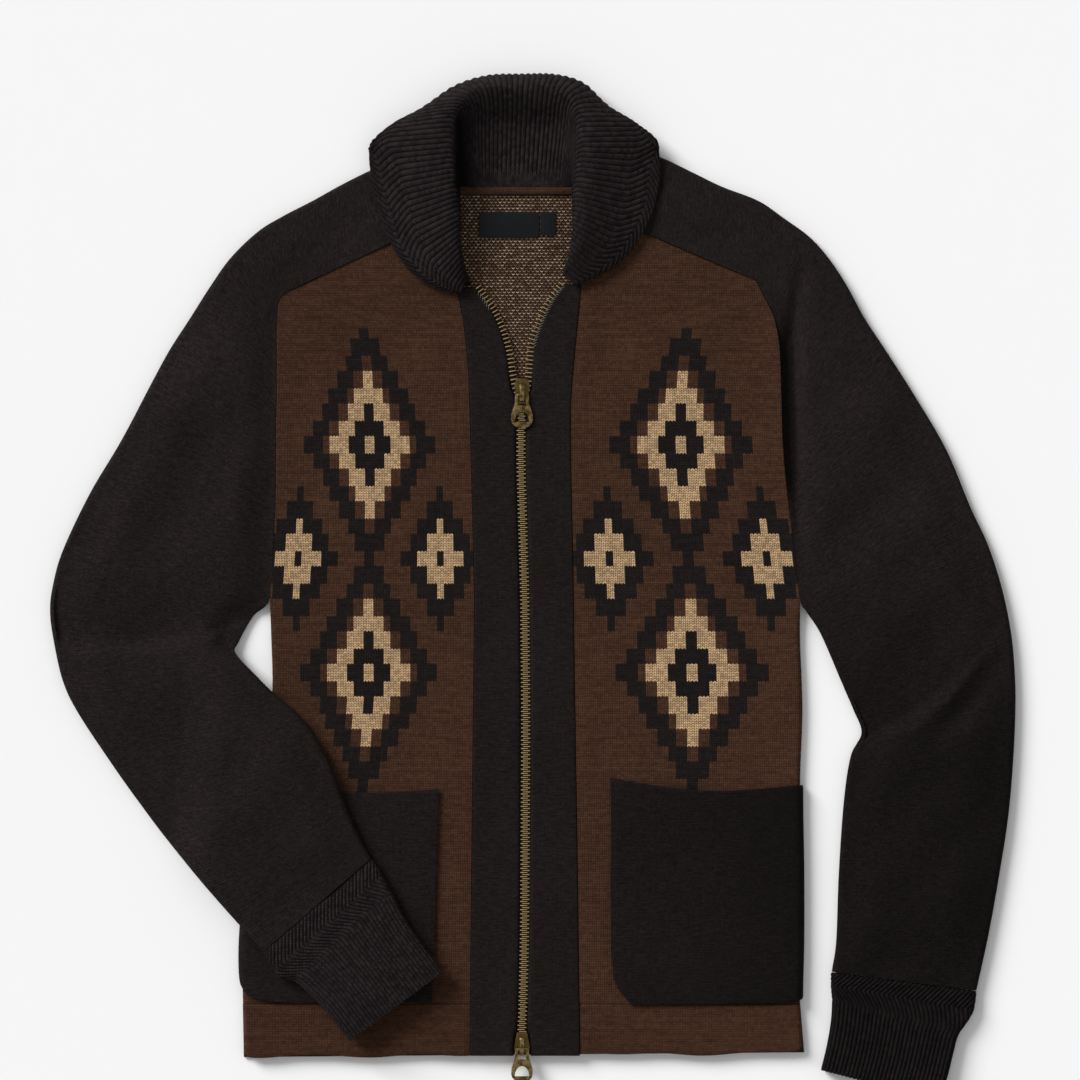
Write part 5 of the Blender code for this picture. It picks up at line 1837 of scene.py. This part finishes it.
class SWEATER_OT_stage(bpy.types.Operator):
    """Lay the pale floor and set the soft light and the camera above"""

    bl_idname = "sweater.stage"
    bl_label = "Stage"

    def execute(self, context):
        stage = context.scene.sweater_stage
        mesh = bpy.data.meshes.new("floor")
        shape = bmesh.new()
        cuts = stage.floor_cuts
        bmesh.ops.create_grid(shape, x_segments=cuts, y_segments=cuts, size=FLOOR_HALF)
        for vertex in shape.verts:
            vertex.co.z = -FLOOR_DROP * MM
        shape.to_mesh(mesh)
        shape.free()
        mesh.materials.append(floor_looks("floor_paper", stage.floor_colour))
        floor = put_in_scene("floor", mesh)
        world = bpy.data.worlds.new("soft_sky")
        context.scene.world = world
        world.use_nodes = True
        sky = world.node_tree.nodes["Background"].inputs
        sky["Color"].default_value = (1.0, 1.0, 1.0, 1.0)
        sky["Strength"].default_value = SKY_STRENGTH
        lamp = bpy.data.lights.new("studio_key", "SUN")
        lamp.energy = stage.key_strength
        lamp.angle = math.radians(KEY_SOFTNESS)
        holder = put_in_scene("studio_key", lamp)
        holder.location = KEY_PLACE
        holder.rotation_euler = [math.radians(turn) for turn in KEY_TURNS]
        camera = bpy.data.cameras.new("photo_camera")
        camera.sensor_width = FILM_WIDTH
        camera.lens = FILM_WIDTH * stage.camera_height / stage.photo_width
        camera.clip_end = 4 * stage.camera_height
        holder = put_in_scene("photo_camera", camera)
        holder.location = (CAMERA_PLACE[0] * MM, CAMERA_PLACE[1] * MM, stage.camera_height)
        context.scene.camera = holder
        context.scene.view_settings.view_transform = "Standard"
        context.scene.view_settings.look = "None"
        return {"FINISHED"}


class SWEATER_PT_panel(bpy.types.Panel):
    """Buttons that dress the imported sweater, in order"""

    bl_label = "Sweater"
    bl_idname = "SWEATER_PT_panel"
    bl_space_type = "VIEW_3D"
    bl_region_type = "UI"
    bl_category = "Sweater"

    def draw(self, context):
        scene = context.scene
        for group in (scene.sweater_yarn, scene.sweater_ribs, scene.sweater_zip, scene.sweater_stage):
            box = self.layout.box()
            for name in group.__annotations__:
                box.prop(group, name)
        for operator in STEPS:
            self.layout.operator(operator.bl_idname)


STEPS = (
    SWEATER_OT_back,
    SWEATER_OT_fronts,
    SWEATER_OT_bands,
    SWEATER_OT_sleeves,
    SWEATER_OT_cuffs,
    SWEATER_OT_pockets,
    SWEATER_OT_collar,
    SWEATER_OT_neck_trim,
    SWEATER_OT_thread,
    SWEATER_OT_zip,
    SWEATER_OT_stage,
)
SETTINGS = {
    "sweater_yarn": SweaterYarn,
    "sweater_ribs": SweaterRibs,
    "sweater_zip": SweaterZip,
    "sweater_stage": SweaterStage,
}


def register():
    for kind in (*SETTINGS.values(), *STEPS, SWEATER_PT_panel):
        bpy.utils.register_class(kind)
    for name, kind in SETTINGS.items():
        setattr(bpy.types.Scene, name, PointerProperty(type=kind))


def unregister():
    for name in SETTINGS:
        delattr(bpy.types.Scene, name)
    for kind in (SWEATER_PT_panel, *reversed(STEPS), *reversed(SETTINGS.values())):
        bpy.utils.unregister_class(kind)


def main():
    register()
    for operator in STEPS:
        group, name = operator.bl_idname.split(".")
        getattr(getattr(bpy.ops, group), name)()


if __name__ == "__main__":
    main()
